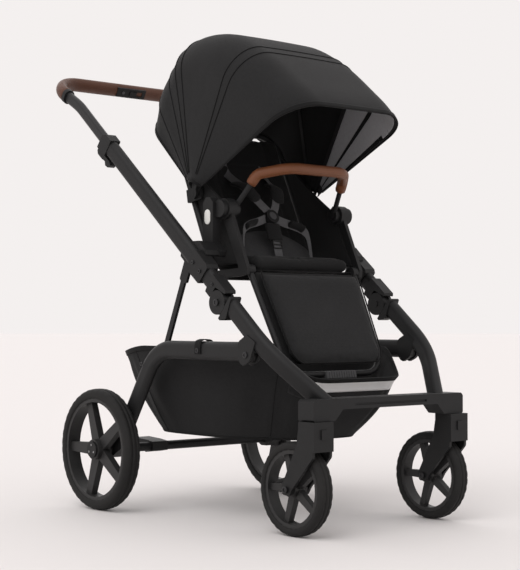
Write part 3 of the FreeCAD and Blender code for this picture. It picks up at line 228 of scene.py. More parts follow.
def mould_group():
    """Moulded or coated surface: fine grain, slow tone changes, dust in the low places."""
    tree, inside, outside = new_group(
        "mould_grain",
        [("Vector", "NodeSocketVector", None), ("Grain", "NodeSocketFloat", 900.0),
         ("Base", "NodeSocketColor", (0, 0, 0, 1)), ("Worn", "NodeSocketColor", (1, 1, 1, 1)),
         ("Smooth", "NodeSocketFloat", 0.4), ("Dust", "NodeSocketFloat", 0.0)],
        SURFACE,
    )
    speck = tree.nodes.new("ShaderNodeTexNoise")
    speck.inputs["Detail"].default_value = 3.0
    tree.links.new(inside.outputs["Vector"], speck.inputs["Vector"])
    tree.links.new(inside.outputs["Grain"], speck.inputs["Scale"])
    cloud = noise_node(tree, inside.outputs["Vector"], 14.0, 5.0)
    scuff = noise_node(tree, inside.outputs["Vector"], 70.0, 6.0)
    marks = math_node(tree, "MAXIMUM", times(tree, minus(tree, scuff, 0.56), 5.0), 0.0)
    marks = math_node(tree, "MINIMUM", marks, 1.0)
    tone = plus(tree, times(tree, marks, 0.16), times(tree, cloud, 0.2))
    tone = plus(tree, tone, times(tree, speck.outputs["Fac"], 0.16))
    colour = tint(tree, tone, inside, "Base", "Worn")
    dusty = times(tree, inside.outputs["Dust"], cloud)
    dusted = colour_mix(tree, dusty, (0, 0, 0), (0.36, 0.33, 0.29))
    tree.links.new(colour, dusted.node.inputs[6])
    tree.links.new(dusted, outside.inputs["Color"])
    rough = plus(tree, inside.outputs["Smooth"], times(tree, cloud, 0.16))
    rough = plus(tree, rough, times(tree, marks, 0.12))
    tree.links.new(rough, outside.inputs["Roughness"])
    tree.links.new(speck.outputs["Fac"], outside.inputs["Height"])
    return tree


WEAVE = weave_group()
PEBBLE = pebble_group()
MOULD = mould_group()


# ---- materials


def new_material(name, coordinates="Object"):
    material = bpy.data.materials.new(name)
    material.use_nodes = True
    tree = material.node_tree
    shader = tree.nodes["Principled BSDF"]
    where = tree.nodes.new("ShaderNodeTexCoord")
    return material, tree, shader, where.outputs[coordinates]


def finish_surface(tree, shader, group, height_mm):
    tree.links.new(group.outputs["Color"], shader.inputs["Base Color"])
    tree.links.new(group.outputs["Roughness"], shader.inputs["Roughness"])
    bump = tree.nodes.new("ShaderNodeBump")
    bump.inputs["Strength"].default_value = 0.6
    bump.inputs["Distance"].default_value = height_mm / 1000
    tree.links.new(group.outputs["Height"], bump.inputs["Height"])
    tree.links.new(bump.outputs["Normal"], shader.inputs["Normal"])
    return bump


def grouped(tree, shape, vector):
    node = tree.nodes.new("ShaderNodeGroup")
    node.node_tree = shape
    tree.links.new(vector, node.inputs["Vector"])
    return node


def cloth(name, dark, light, threads, height_mm=0.25, sheen=0.25):
    material, tree, shader, where = new_material(name)
    group = grouped(tree, WEAVE, where)
    group.inputs["Threads"].default_value = threads
    group.inputs["Dark"].default_value = (*dark, 1)
    group.inputs["Light"].default_value = (*light, 1)
    finish_surface(tree, shader, group, height_mm)
    shader.inputs["Sheen Weight"].default_value = sheen
    shader.inputs["Sheen Roughness"].default_value = 0.5
    shader.inputs["Specular IOR Level"].default_value = 0.2
    return material


def hide(name, dark, light, pebbles, height_mm=0.12):
    material, tree, shader, where = new_material(name)
    group = grouped(tree, PEBBLE, where)
    group.inputs["Pebbles"].default_value = pebbles
    group.inputs["Dark"].default_value = (*dark, 1)
    group.inputs["Light"].default_value = (*light, 1)
    finish_surface(tree, shader, group, height_mm)
    shader.inputs["Specular IOR Level"].default_value = 0.4
    shader.inputs["Coat Weight"].default_value = 0.08
    shader.inputs["Coat Roughness"].default_value = 0.4
    return material


def moulded(name, base, worn, smooth, grain, height_mm=0.06, dust=0.0, metallic=0.0, specular=0.4):
    material, tree, shader, where = new_material(name)
    group = grouped(tree, MOULD, where)
    group.inputs["Grain"].default_value = grain
    group.inputs["Base"].default_value = (*base, 1)
    group.inputs["Worn"].default_value = (*worn, 1)
    group.inputs["Smooth"].default_value = smooth
    group.inputs["Dust"].default_value = dust
    finish_surface(tree, shader, group, height_mm)
    shader.inputs["Metallic"].default_value = metallic
    shader.inputs["Specular IOR Level"].default_value = specular
    return material


def grey(value, warm=0.0):
    return (value * (1 + warm), value, value * (1 - warm * 0.6) + value * 0.04)


CANOPY_CLOTH = cloth("canopy_melange", grey(0.005), grey(0.019), 3600, 0.25, 0.06)
PANEL_CLOTH = cloth("panel_dark_grey_knit", grey(0.022), grey(0.05), 2600, 0.35, 0.05)
SEAT_CLOTH = cloth("seat_black_twill", grey(0.003), grey(0.011), 4200, 0.25, 0.05)
LEG_REST_CLOTH = cloth("leg_rest_melange", grey(0.005), grey(0.021), 3600, 0.25, 0.06)
LINER_CLOTH = cloth("liner_grey_knit", grey(0.24), grey(0.42), 2600, 0.35, 0.2)
BASKET_CLOTH = cloth("basket_ripstop", grey(0.004), grey(0.016), 2400, 0.2, 0.04)
WEBBING = cloth("webbing_ribbed", grey(0.05), grey(0.13), 2600, 0.5, 0.08)
BINDING = cloth("binding_tape", grey(0.002), grey(0.007), 3000, 0.2, 0.04)
PAD_CLOTH = cloth("harness_pad_mesh", grey(0.003), grey(0.012), 2200, 0.4, 0.06)
THREAD_DARK = cloth("sewing_thread_dark", grey(0.03), grey(0.07), 6000, 0.1, 0.1)
THREAD_TAN = cloth("sewing_thread_tan", (0.16, 0.075, 0.03), (0.28, 0.14, 0.07), 6000, 0.1, 0.1)
GRIP_HIDE = hide("dark_brown_hide", (0.045, 0.013, 0.005), (0.105, 0.033, 0.012), 1100)
BUMPER_HIDE = hide("tan_brown_hide", (0.088, 0.026, 0.008), (0.185, 0.06, 0.019), 1100)
FRAME_COAT = moulded("charcoal_coat", grey(0.009), grey(0.03), 0.44, 1400, 0.03, 0.0, 0.2, 0.3)
HANDLE_COAT = moulded("slate_anodised", grey(0.02), grey(0.05), 0.34, 1800, 0.02, 0.0, 0.5, 0.4)
BLACK_MOULD = moulded("black_moulding", grey(0.006), grey(0.022), 0.46, 1100, 0.08, 0.0, 0.0, 0.28)
RIM_MOULD = moulded("rim_moulding", grey(0.012), grey(0.036), 0.42, 1000, 0.05, 0.03, 0.0, 0.3)
TYRE_RUBBER = moulded("tyre_rubber", grey(0.006), grey(0.024), 0.62, 700, 0.12, 0.03, 0.0, 0.2)
SOLE_RUBBER = moulded("footrest_rubber", grey(0.05), grey(0.1), 0.6, 900, 0.1, 0.02, 0.0, 0.2)
SCREW_STEEL = moulded("screw_steel", (0.32, 0.32, 0.33), (0.6, 0.6, 0.6), 0.28, 1600, 0.01, 0.0, 1.0)
PIN_BLACK = moulded("blackened_pin", grey(0.02), grey(0.12), 0.25, 1500, 0.01, 0.0, 0.8)
LENS_WHITE = moulded("reflector_lens", (0.62, 0.62, 0.6), (0.86, 0.86, 0.84), 0.16, 600, 0.03)
STRIP_WHITE = moulded("reflective_strip", (0.6, 0.6, 0.6), (0.85, 0.85, 0.84), 0.3, 1800, 0.05)
BUTTON_GREY = moulded("button_grey", grey(0.045), grey(0.13), 0.3, 900, 0.03)

FINISH = {
    "frame_paint": FRAME_COAT,
    "handle_tube": HANDLE_COAT,
    "black_plastic": BLACK_MOULD,
    "grey_plastic": RIM_MOULD,
    "tyre": TYRE_RUBBER,
    "dark_leather": GRIP_HIDE,
    "tan_leather": BUMPER_HIDE,
    "dark_fabric": BASKET_CLOTH,
    "grey_fabric": SEAT_CLOTH,
}
for part in frame["record"]["subparts"]:
    for holder in frame["nodes"][part["node"]].material_slots:
        holder.material = FINISH[part["material_slot"]]
for name in ("fold_safety_button", "buckle_button"):
    for holder in frame["nodes"][name].material_slots:
        holder.material = BUTTON_GREY


# ---- mesh helpers


def new_piece(name, bm, material, smooth=True):
    mesh = bpy.data.meshes.new(name)
    bm.normal_update()
    bm.to_mesh(mesh)
    bm.free()
    mesh.materials.append(material)
    obj = bpy.data.objects.new(name, mesh)
    bpy.context.scene.collection.objects.link(obj)
    if smooth:
        for face in mesh.polygons:
            face.use_smooth = True
    return obj


def shaped_grid(across, along, place, close=False):
    """A grid laid over a surface: place(u, v) gives the point for u and v from 0 to 1."""
    bm = bmesh.new()
    bmesh.ops.create_grid(bm, x_segments=across, y_segments=along, size=0.5)
    for vert in bm.verts:
        vert.co = place(vert.co.x + 0.5, vert.co.y + 0.5)
    if close:
        bmesh.ops.remove_doubles(bm, verts=bm.verts, dist=1e-5)
    bmesh.ops.recalc_face_normals(bm, faces=bm.faces)
    return bm


def thicken(obj, mm, offset=0.0, finer=0):
    wall = obj.modifiers.new("wall", "SOLIDIFY")
    wall.thickness = mm / 1000
    wall.offset = offset
    if finer:
        smoother = obj.modifiers.new("finer", "SUBSURF")
        smoother.levels = finer
        smoother.render_levels = finer
    return obj


def route(points, radii, step=6.0):
    """A line through points in metres whose inner corners are rounded by radii in mm."""
    line = [points[0]]
    for i in range(1, len(points) - 1):
        a = (points[i - 1] - points[i]).normalized()
        b = (points[i + 1] - points[i]).normalized()
        half = a.angle(b) / 2
        radius = radii[i - 1] / 1000
        reach = radius / math.tan(half)
        middle = points[i] + (a + b).normalized() * (radius / math.sin(half))
        start = points[i] + a * reach - middle
        end = points[i] + b * reach - middle
        turn = start.angle(end)
        count = max(int(turn * radius / (step / 1000)), 3)
        for k in range(count + 1):
            f = k / count
            swung = start * math.sin((1 - f) * turn) + end * math.sin(f * turn)
            line.append(middle + swung / math.sin(turn))
    line.append(points[-1])
    return line


class Line:
    """A line that can be read by its length from 0 to 1."""

    def __init__(self, points):
        self.points = points
        self.marks = [0.0]
        for a, b in zip(points, points[1:]):
            self.marks.append(self.marks[-1] + (b - a).length)
        self.length = self.marks[-1]

    def read(self, t):
        want = min(max(t, 0.0), 1.0) * self.length
        i = 0
        while i < len(self.marks) - 2 and self.marks[i + 1] < want:
            i += 1
        span = max(self.marks[i + 1] - self.marks[i], 1e-9)
        return self.points[i].lerp(self.points[i + 1], (want - self.marks[i]) / span)

    def frame(self, t, flat):
        here = self.read(t)
        tangent = (self.read(t + 0.004) - self.read(t - 0.004)).normalized()
        side = tangent.cross(flat).normalized()
        return here, tangent, side, side.cross(tangent).normalized()


def swept(line, flat, across, upright, section=None, around=24, along=None):
    """A bar along a line: across in its plane, upright square to it, both in mm."""
    along = along or max(int(line.length / 0.006), 8)
    half_a, half_u = across / 2000, upright / 2000

    def place(u, v):
        here, _, side, up = line.frame(v, flat)
        turn = u * math.tau
        swell = section(u, v) if section else 1.0
        return here + side * (math.cos(turn) * half_a * swell) + up * (math.sin(turn) * half_u * swell)

    bm = shaped_grid(around, along, place, close=True)
    loops = [edge for edge in bm.edges if edge.is_boundary]
    bmesh.ops.holes_fill(bm, edges=loops, sides=0)
    bmesh.ops.recalc_face_normals(bm, faces=bm.faces)
    return bm


def strap(name, points, across, width, thick, material):
    """A flat strap along points in metres; width and thickness in mm."""
    line = Line(points)
    side = across.normalized()

    def place(u, v):
        return line.read(v) + side * ((u - 0.5) * width / 1000)

    obj = new_piece(name, shaped_grid(4, max(int(line.length / 0.006), 4), place), material)
    thicken(obj, thick, 0.0)
    edge = obj.modifiers.new("edge", "BEVEL")
    edge.width = thick / 3500
    edge.segments = 2
    return obj


def stitches(name, line, flat, side_mm, up_mm, material, pitch=4.2, size=0.55):
    """A row of thread stitches beside a line."""
    bm = bmesh.new()
    count = int(line.length * 1000 / pitch)
    for i in range(count):
        t = (i + 0.5) / count
        here, tangent, side, up = line.frame(t, flat)
        centre = here + side * (side_mm / 1000) + up * (up_mm / 1000)
        turn = Matrix((side, tangent, up)).transposed().to_4x4()
        shape = Matrix.Diagonal((size / 1000, pitch * 0.00034, size / 1000, 1))
        spot = Matrix.Translation(centre) @ turn @ shape
        bmesh.ops.create_icosphere(bm, subdivisions=1, radius=1.0, matrix=spot)
    return new_piece(name, bm, material)


def soft_box(size, places, rounding, cuts=18):
    """A box of size in mm with rounded edges, fine enough to swell; places puts it in the frame."""
    bm = bmesh.new()
    bmesh.ops.create_cube(bm, size=1.0)
    bmesh.ops.scale(bm, vec=Vector(size) / 1000, verts=bm.verts)
    bmesh.ops.bevel(
        bm, geom=bm.edges[:], offset=rounding / 1000, offset_type="OFFSET", segments=4, profile=0.5,
        affect="EDGES", material=-1,
    )
    long_edges = [e for e in bm.edges if e.calc_length() > 0.03]
    bmesh.ops.subdivide_edges(bm, edges=long_edges, cuts=cuts, use_grid_fill=True)
    bmesh.ops.triangulate(bm, faces=[f for f in bm.faces if len(f.verts) > 4])
    bmesh.ops.transform(bm, matrix=places, verts=bm.verts)
    return bm


def plump(obj, cap_mm, pressure=4.0, voxel=0.005):
    """Swells a closed pad like stuffed cloth, held within cap_mm of where it was."""
    remesh = obj.modifiers.new("even", "REMESH")
    remesh.mode = "VOXEL"
    remesh.voxel_size = voxel
    bake(obj)
    before = [v.co.copy() for v in obj.data.vertices]
    cloth_mod = obj.modifiers.new("swell", "CLOTH")
    cloth_mod.settings.use_pressure = True
    cloth_mod.settings.uniform_pressure_force = pressure
    cloth_mod.settings.effector_weights.gravity = 0
    cloth_mod.settings.tension_stiffness = 15
    cloth_mod.settings.compression_stiffness = 15
    cloth_mod.settings.bending_stiffness = 0.5
    cloth_mod.point_cache.frame_start = 1
    cloth_mod.point_cache.frame_end = 20
    scene = bpy.context.scene
    for step in range(1, 21):
        scene.frame_set(step)
    bake(obj)
    limit = cap_mm / 1000
    for vert, start in zip(obj.data.vertices, before):
        move = vert.co - start
        if move.length > limit:
            vert.co = start + move.normalized() * limit
    scene.frame_set(1)
    smooth_faces(obj)
    return obj


def bake(obj):
    """Applies the piece's modifiers to its mesh."""
    shown = obj.evaluated_get(bpy.context.evaluated_depsgraph_get())
    mesh = bpy.data.meshes.new_from_object(shown)
    obj.modifiers.clear()
    obj.data = mesh


def smooth_faces(obj):
    for face in obj.data.polygons:
        face.use_smooth = True


def dent(obj, depth_of):
    """Moves each point of a piece inwards by depth_of(point) in mm."""
    mesh = obj.data
    moves = [(v.normal.copy(), depth_of(v.co)) for v in mesh.vertices]
    for vert, (normal, depth) in zip(mesh.vertices, moves):
        vert.co -= normal * (depth / 1000)
    mesh.update()


def screw(name, centre, axis, radius, body, material=PIN_BLACK, proud=1.6):
    """A domed screw head with a hexagon socket."""
    bm = bmesh.new()
    bmesh.ops.create_circle(bm, cap_ends=True, segments=24, radius=radius / 1000)
    face = bm.faces[:]
    raised = bmesh.ops.extrude_face_region(bm, geom=face)
    top = [v for v in raised["geom"] if isinstance(v, bmesh.types.BMVert)]
    bmesh.ops.translate(bm, vec=(0, 0, proud / 1000), verts=top)
    crown = [f for f in raised["geom"] if isinstance(f, bmesh.types.BMFace)]
    bmesh.ops.inset_region(bm, faces=crown, thickness=radius * 0.18 / 1000, depth=proud * 0.25 / 1000)
    bmesh.ops.inset_region(bm, faces=crown, thickness=radius * 0.3 / 1000)
    bmesh.ops.inset_region(bm, faces=crown, thickness=0.00002, depth=-proud * 0.6 / 1000)
    turn = Vector((0, 0, 1)).rotation_difference(Vector(axis)).to_matrix().to_4x4()
    bmesh.ops.transform(bm, matrix=Matrix.Translation(centre) @ turn, verts=bm.verts)
    bmesh.ops.recalc_face_normals(bm, faces=bm.faces)
    obj = new_piece(name, bm, material, smooth=False)
    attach(obj, body)
    return obj


# ---- frame layout, in mm

SLOPE = math.radians(40.0)
HALF_FRAME = 247.0
HINGE = (-111.0, 512.6)
HUB = (-39.5, 708.0)
CANOPY_PIVOT = (72.0, 750.0)
REAR_AXLE = (309.0, 145.0)
FRONT_AXLE = (-310.0, 100.0)
X_AXIS = Vector((1, 0, 0))


def on_tube(x, s, n=0.0):
    """A point s mm up the main tube from its hinge and n mm square to it."""
    y = HINGE[0] + s * math.cos(SLOPE) - n * math.sin(SLOPE)
    z = HINGE[1] + s * math.sin(SLOPE) + n * math.cos(SLOPE)
    return at(x, y, z)


# ---- tyres


def tyre(name, node, body, x, axle, radius, width, depth):
    """A foam tyre with two grooves round the tread and short cuts across its shoulders."""
    half = width / 2
    steps = 120 if radius > 120 else 96
    profile = [
        (-half + 1.5, radius - depth), (-half, radius - depth * 0.8), (-half - 0.2, radius - depth * 0.45),
        (-half * 0.86, radius - depth * 0.17), (-half * 0.62, radius - depth * 0.05),
        (-half * 0.36, radius - 0.4), (-half * 0.32, radius - 2.0), (-half * 0.22, radius - 2.0),
        (-half * 0.18, radius - 0.1),
    ]
    profile += [(-x_at, r) for x_at, r in reversed(profile)]
    centre = at(x, *axle)
    bm = bmesh.new()
    ring = [bm.verts.new(centre + Vector((x_at / 1000, 0, r / 1000))) for x_at, r in profile]
    edges = [bm.edges.new((a, b)) for a, b in zip(ring, ring[1:] + ring[:1])]
    bmesh.ops.spin(
        bm, geom=ring + edges, cent=centre, axis=X_AXIS, dvec=(0, 0, 0), angle=math.tau, steps=steps,
        use_merge=True, use_duplicate=False,
    )
    bmesh.ops.remove_doubles(bm, verts=bm.verts, dist=1e-5)
    for vert in bm.verts:
        out = vert.co - centre
        turn = math.atan2(out.z, out.y)
        count = round((turn + math.pi) / math.tau * steps)
        shoulder = half * 0.5 < abs(out.x) * 1000 < half * 0.95
        if shoulder and count % 3 == 0:
            radial = Vector((0, out.y, out.z)).normalized()
            vert.co -= radial * 0.0011
    bmesh.ops.recalc_face_normals(bm, faces=bm.faces)
    obj = new_piece(name, bm, TYRE_RUBBER)
    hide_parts(node)
    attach(obj, body)
    return obj


for side_name, sign in SIDES:
    tyre(f"rear_tyre_tread_{side_name}", f"rear_tyre_{side_name}", f"rear_wheel_{side_name}",
         sign * 286.0, REAR_AXLE, 145.0, 40.0, 23.0)
    tyre(f"front_tyre_tread_{side_name}", f"front_tyre_{side_name}", f"front_wheel_{side_name}",
         sign * 209.0, FRONT_AXLE, 100.0, 35.0, 17.0)


# ---- leather covers


def leather_cover(name, node, body, line, flat, across, upright, material, thread, seam_side):
    """A wrapped and stitched cover: a bar with a seam valley and a row of stitches each side of it."""

    def section(u, v):
        valley = math.exp(-(((u - seam_side + 0.5) % 1.0 - 0.5) / 0.025) ** 2)
        ends = 1 - 0.12 * (1 - ramp(min(v, 1 - v) * line.length * 1000, 0.0, 5.0))
        return (1.012 - 0.05 * valley) * ends

    obj = new_piece(name, swept(line, flat, across, upright, section, around=64), material)
    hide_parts(node)
    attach(obj, body)
    for tag, turn in (("a", seam_side - 0.035), ("b", seam_side + 0.035)):
        side = math.cos(turn * math.tau) * across / 2 * 1.01
        up = math.sin(turn * math.tau) * upright / 2 * 1.01
        row = stitches(f"{name}_stitches_{tag}", line, flat, side, up, thread)
        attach(row, body)
    return obj


def mirrored(points):
    return points + [Vector((-p.x, p.y, p.z)) for p in reversed(points)]


bend = on_tube(HALF_FRAME, 745.0)
corner = at(HALF_FRAME, 600.0, 1073.0)
grip_start = bend.lerp(corner, 0.44)
GRIP_RUN = (corner - bend).normalized()
GRIP_FLAT = Vector((0, -GRIP_RUN.z, GRIP_RUN.y))
grip_line = Line(route(mirrored([grip_start, corner]), [85.0, 85.0]))
leather_cover("grip_leather", "handle_grip", "handle", grip_line, GRIP_FLAT, 27.6, 35.4,
              GRIP_HIDE, THREAD_DARK, 0.72)

bumper_eye = at(156.4, *HUB)
bumper_corner = at(134, -96, 786)
bumper_front = at(86, -150, 799)
sleeve_start = bumper_eye.lerp(bumper_corner, 0.72)
bumper_line = Line(route(mirrored([sleeve_start, bumper_corner, bumper_front]), [20.0, 62.0, 62.0, 20.0]))
BUMPER_FLAT = Vector((0, 0.5, 0.866))
leather_cover("bumper_leather", "bumper_cover", "bumper", bumper_line, BUMPER_FLAT, 25.0, 25.0,
              BUMPER_HIDE, THREAD_TAN, 0.70)


# ---- canopy

# angle about the pivot from the back, reach to the top, half width
CANOPY_FORM = [
    (44.0, 288.0, 178.0), (60.0, 325.0, 189.0), (71.0, 353.0, 192.0), (80.0, 375.5, 193.5),
    (99.0, 381.5, 196.5), (118.0, 362.0, 196.5), (136.0, 367.5, 193.5), (153.0, 387.0, 185.5),
]
CANOPY_SEAMS = (58.0, 71.0, 77.5, 82.5, 115.5, 120.5)
BOW_ANGLES = (44.0, 60.0, 80.0, 118.0, 153.0)
CANOPY_ROOT = 30.0
CANOPY_BEND = 88.0


def canopy_outline(u, top, half):
    """Half width and reach along an arch with round shoulders; also how far up the arch u is."""
    side = top - CANOPY_BEND - CANOPY_ROOT
    bend = CANOPY_BEND * math.pi / 2
    level = half - CANOPY_BEND
    along = (1 - abs(2 * u - 1)) * (side + bend + level)
    hand = 1 if u < 0.5 else -1
    if along < side:
        return hand * half, CANOPY_ROOT + along, along / side * 0.6
    if along < side + bend:
        turn = (along - side) / CANOPY_BEND
        x = level + CANOPY_BEND * math.cos(turn)
        return hand * x, top - CANOPY_BEND + CANOPY_BEND * math.sin(turn), 0.6 + 0.4 * math.sin(turn)
    x = level - (along - side - bend)
    return hand * x, top, 1.0


def canopy_point(u, angle, inwards=0.0, sag=4.5):
    """The canopy's cloth: u runs round the arch from the left foot to the right foot."""
    top, half = along_table(CANOPY_FORM, angle)
    x, reach, rise = canopy_outline(u, top - inwards, half - inwards)
    reach += 3.5 * (1 - (x / half) ** 2) * ramp(rise, 0.6, 1.0)
    for a, b in zip(BOW_ANGLES, BOW_ANGLES[1:]):
        if a < angle < b:
            hang = math.sin(math.pi * (angle - a) / (b - a)) ** 2
            reach -= sag * hang * rise * (b - a) / 35
            x *= 1 - 0.012 * hang * rise
    swing = math.radians(angle)
    return at(x, CANOPY_PIVOT[0] + reach * math.cos(swing), CANOPY_PIVOT[1] + reach * math.sin(swing))


def canopy_arch(angle, inwards=0.0, count=90, low=0.0, high=1.0):
    return Line([canopy_point(mix(low, high, i / count), angle, inwards) for i in range(count + 1)])


def with_canopy(obj):
    """Bakes the piece's placing into its mesh."""
    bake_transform(obj)
    return obj


canopy = new_piece(
    "canopy_cloth",
    shaped_grid(96, 120, lambda u, v: canopy_point(u, mix(44.0, 153.0, v))),
    CANOPY_CLOTH,
)
thicken(canopy, 1.6, -1.0)
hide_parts("canopy_fabric")
with_canopy(canopy)

liner = new_piece(
    "canopy_liner",
    shaped_grid(80, 48, lambda u, v: canopy_point(mix(0.02, 0.98, u), mix(117.0, 152.4, v), 3.4)),
    LINER_CLOTH,
)
thicken(liner, 0.8, -1.0)
with_canopy(liner)
back_liner = new_piece(
    "canopy_back_liner",
    shaped_grid(80, 60, lambda u, v: canopy_point(mix(0.02, 0.98, u), mix(44.5, 117.0, v), 3.4)),
    SEAT_CLOTH,
)
thicken(back_liner, 0.8, -1.0)
with_canopy(back_liner)


def canopy_tape(name, angle, inwards, width_deg, material, thick, low=0.015, high=0.985):
    """A tape sewn along an arch of the canopy."""
    obj = new_piece(
        name,
        shaped_grid(
            110, 4, lambda u, v: canopy_point(mix(low, high, u), angle + (v - 0.5) * width_deg, inwards)
        ),
        material,
    )
    thicken(obj, thick, 0.0)
    with_canopy(obj)
    return obj


def arch_normal(angle):
    return Vector((0, -math.sin(math.radians(angle)), math.cos(math.radians(angle))))


for number, angle in enumerate(CANOPY_SEAMS):
    piping = new_piece(
        f"canopy_piping_{number}",
        swept(canopy_arch(angle, -0.5, 110, 0.02, 0.98), arch_normal(angle), 2.6, 2.6, around=8, along=110),
        BINDING,
    )
    with_canopy(piping)
canopy_tape("canopy_front_binding", 152.6, -0.9, 2.0, BINDING, 2.6)
canopy_tape("canopy_front_lining_edge", 151.4, 3.0, 2.4, BINDING, 2.4)
canopy_tape("canopy_rear_binding", 44.6, -0.8, 2.0, BINDING, 2.4)
canopy_tape("canopy_inner_tape", 136.0, 5.2, 2.6, BINDING, 1.2)
canopy_tape("canopy_liner_seam", 118.0, 5.2, 1.6, BINDING, 1.2)
for side_name, sign in SIDES:
    foot = [canopy_point(0.0 if sign > 0 else 1.0, mix(44.0, 153.0, k / 12)) for k in range(13)]
    edge = strap(f"canopy_foot_binding_{side_name}", foot, X_AXIS, 4.0, 7.0, BINDING)
    with_canopy(edge)


# ---- basket

BASKET_MIDDLE = 42.0


def basket_ring(turn, half_length, half_width, front_width, middle, square=0.42):
    y = middle + half_length * math.copysign(abs(math.sin(turn)) ** square, math.sin(turn))
    narrowing = mix(front_width / half_width, 1.0, ramp(y, middle - half_length, middle - half_length + 190))
    x = half_width * narrowing * math.copysign(abs(math.cos(turn)) ** square, math.cos(turn))
    return x, y


def basket_rim_height(y):
    fall = ramp(y, -170.0, -300.0) * 66.0
    return 391.0 - fall - ramp(y, 240.0, 390.0) * 18.0


def basket_point(turn, lift, outwards=0.0):
    """The bag's cloth: turn goes round it, lift from 0 at the floor's edge to 1 at the rim."""
    low_x, low_y = basket_ring(turn, 229.0, 170.0, 112.0, 39.0)
    top_x, top_y = basket_ring(turn, 346.0, 205.0, 158.0, 44.0, 0.36)
    x = mix(low_x, top_x, lift)
    y = mix(low_y, top_y, lift)
    rim = basket_rim_height(top_y)
    z = mix(187.0, rim, lift)
    belly = math.sin(math.pi * min(lift * 1.15, 1.0)) * 9.0
    folds = noise.noise(Vector((math.cos(turn) * 2.6, math.sin(turn) * 2.6, lift * 1.4)))
    pleats = noise.noise(Vector((math.cos(turn) * 9.0, math.sin(turn) * 9.0, lift * 0.8 + 4.0)))
    swell = belly + (folds * 9.0 + pleats * 4.0) * math.sin(math.pi * lift) + outwards
    side = Vector((x, (y - BASKET_MIDDLE) * 0.45, 0)).normalized()
    return at(x + side.x * swell, y + side.y * swell, z)


def basket_floor(turn, share):
    edge = basket_point(turn, 0.0)
    centre = at(0, 39, 187)
    here = centre.lerp(edge, share)
    wave = noise.noise(here * 22) * 0.0014
    return here + Vector((0, 0, wave * (1 - share)))


def basket_cloth(u, v):
    turn = u * math.tau
    if v < 0.3:
        return basket_floor(turn, max(v / 0.3, 0.001))
    return basket_point(turn, (v - 0.3) / 0.7)


def with_basket(obj):
    """The bag rides on the rear frame, with a mesh of its own."""
    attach(obj, "rear_frame")
    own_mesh(obj)
    return obj


bag = new_piece("basket_cloth", shaped_grid(160, 60, basket_cloth, close=True), BASKET_CLOTH)
thicken(bag, 1.4, 0.0)
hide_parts("basket_bag")
with_basket(bag)


def basket_band(
    name, low, high, outwards, material, thick, start=0.0, end=1.0, count=150
):
    """A band sewn round the bag between two heights, given as shares of the wall."""

    def place(u, v):
        return basket_point(mix(start, end, u) * math.tau, mix(low, high, v), outwards)

    obj = new_piece(name, shaped_grid(count, 6, place, close=start == 0.0 and end == 1.0), material)
    thicken(obj, thick, 0.0)
    return with_basket(obj)


basket_band("basket_rim_binding", 0.955, 1.012, 0.6, BINDING, 3.4)
basket_band("basket_floor_seam", -0.004, 0.02, 1.2, BINDING, 1.4)
basket_band("basket_front_band", 0.66, 0.97, 1.4, BASKET_CLOTH, 1.0, 0.60, 0.90, count=70)
basket_band("basket_reflective_strip", 0.80, 0.97, 2.2, STRIP_WHITE, 0.7, 0.655, 0.845, 60)
for number, share in enumerate((0.06, 0.44, 0.575, 0.925)):
    turn = share * math.tau
    seam_line = Line([basket_point(turn, 0.02 + 0.94 * k / 20, 0.8) for k in range(21)])
    seam_shape = swept(seam_line, X_AXIS, 2.0, 2.0, around=8, along=30)
    seam = new_piece(f"basket_wall_seam_{number}", seam_shape, BINDING)
    with_basket(seam)

for side_name, sign in SIDES:
    for number, y in enumerate((-40.0, 205.0)):
        drop = 0.0 if y < 100 else -22.0
        rest_z = 409.0 if y < 100 else 376.0
        points = [
            at(sign * 203, y, 384 + drop), at(sign * 216, y, 396 + drop), at(sign * 230, y, rest_z + 2),
            at(sign * 247, y, rest_z + 3.2), at(sign * 258, y, rest_z), at(sign * 262, y, rest_z - 10),
            at(sign * 262, y, rest_z - 30),
        ]
        if number == 0:
            tab = strap(f"basket_hanger_{side_name}", points, Vector((0, 1, 0)), 22.0, 1.6, BINDING)
            with_basket(tab)
            middle = at(sign * 262.6, y, rest_z - 22)
            screw(f"basket_snap_{side_name}", middle, (sign, 0, 0), 6.0, "rear_frame")


# ---- seat

def seat_base_point(u, v):
    """The cloth slung between the seat's side tubes, under the cushion."""
    sag = 3.0 * math.sin(math.pi * u) * math.sin(math.pi * v)
    return at(mix(-158, 158, u), mix(-104, 24, v), 568 - sag)


BACK_LEAN = math.radians(65.6)
BACK_ALONG = Vector((0, math.cos(BACK_LEAN), math.sin(BACK_LEAN)))
BACK_OUT = Vector((0, -math.sin(BACK_LEAN), math.cos(BACK_LEAN)))
SEAT_LEVEL = 566.0


def on_back(x, up, out):
    """A point of the backrest: up the back frame from its foot, and out towards the child, in mm."""
    return at(x, 18, SEAT_LEVEL - 10) + (BACK_ALONG * up + BACK_OUT * out) / 1000


def turned(centre, about_x):
    return Matrix.Translation(centre) @ Matrix.Rotation(math.radians(about_x), 4, "X")


def on_seat(obj, body="seat"):
    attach(obj, body)
    return obj


seat_base = new_piece("seat_base_cloth", shaped_grid(30, 14, seat_base_point), SEAT_CLOTH)
thicken(seat_base, 1.6, 0.0)
on_seat(seat_base)

cushion = new_piece(
    "seat_cushion_cover", soft_box((300, 150, 26), turned(at(0, -31, 583), 0.0), 11.0), SEAT_CLOTH
)
plump(cushion, 7.0)


def cushion_dents(co):
    across = co.x * 1000
    middle = math.exp(-(across / 4.0) ** 2) * 2.2
    rows = sum(math.exp(-((co.y * 1000 - MIDDLE - row) / 3.0) ** 2) for row in (-86, -34, 18)) * 1.8
    return (middle + rows) * (1.0 if co.z > 0.588 else 0.0)


dent(cushion, cushion_dents)
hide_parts("seat_cushion")
on_seat(cushion)

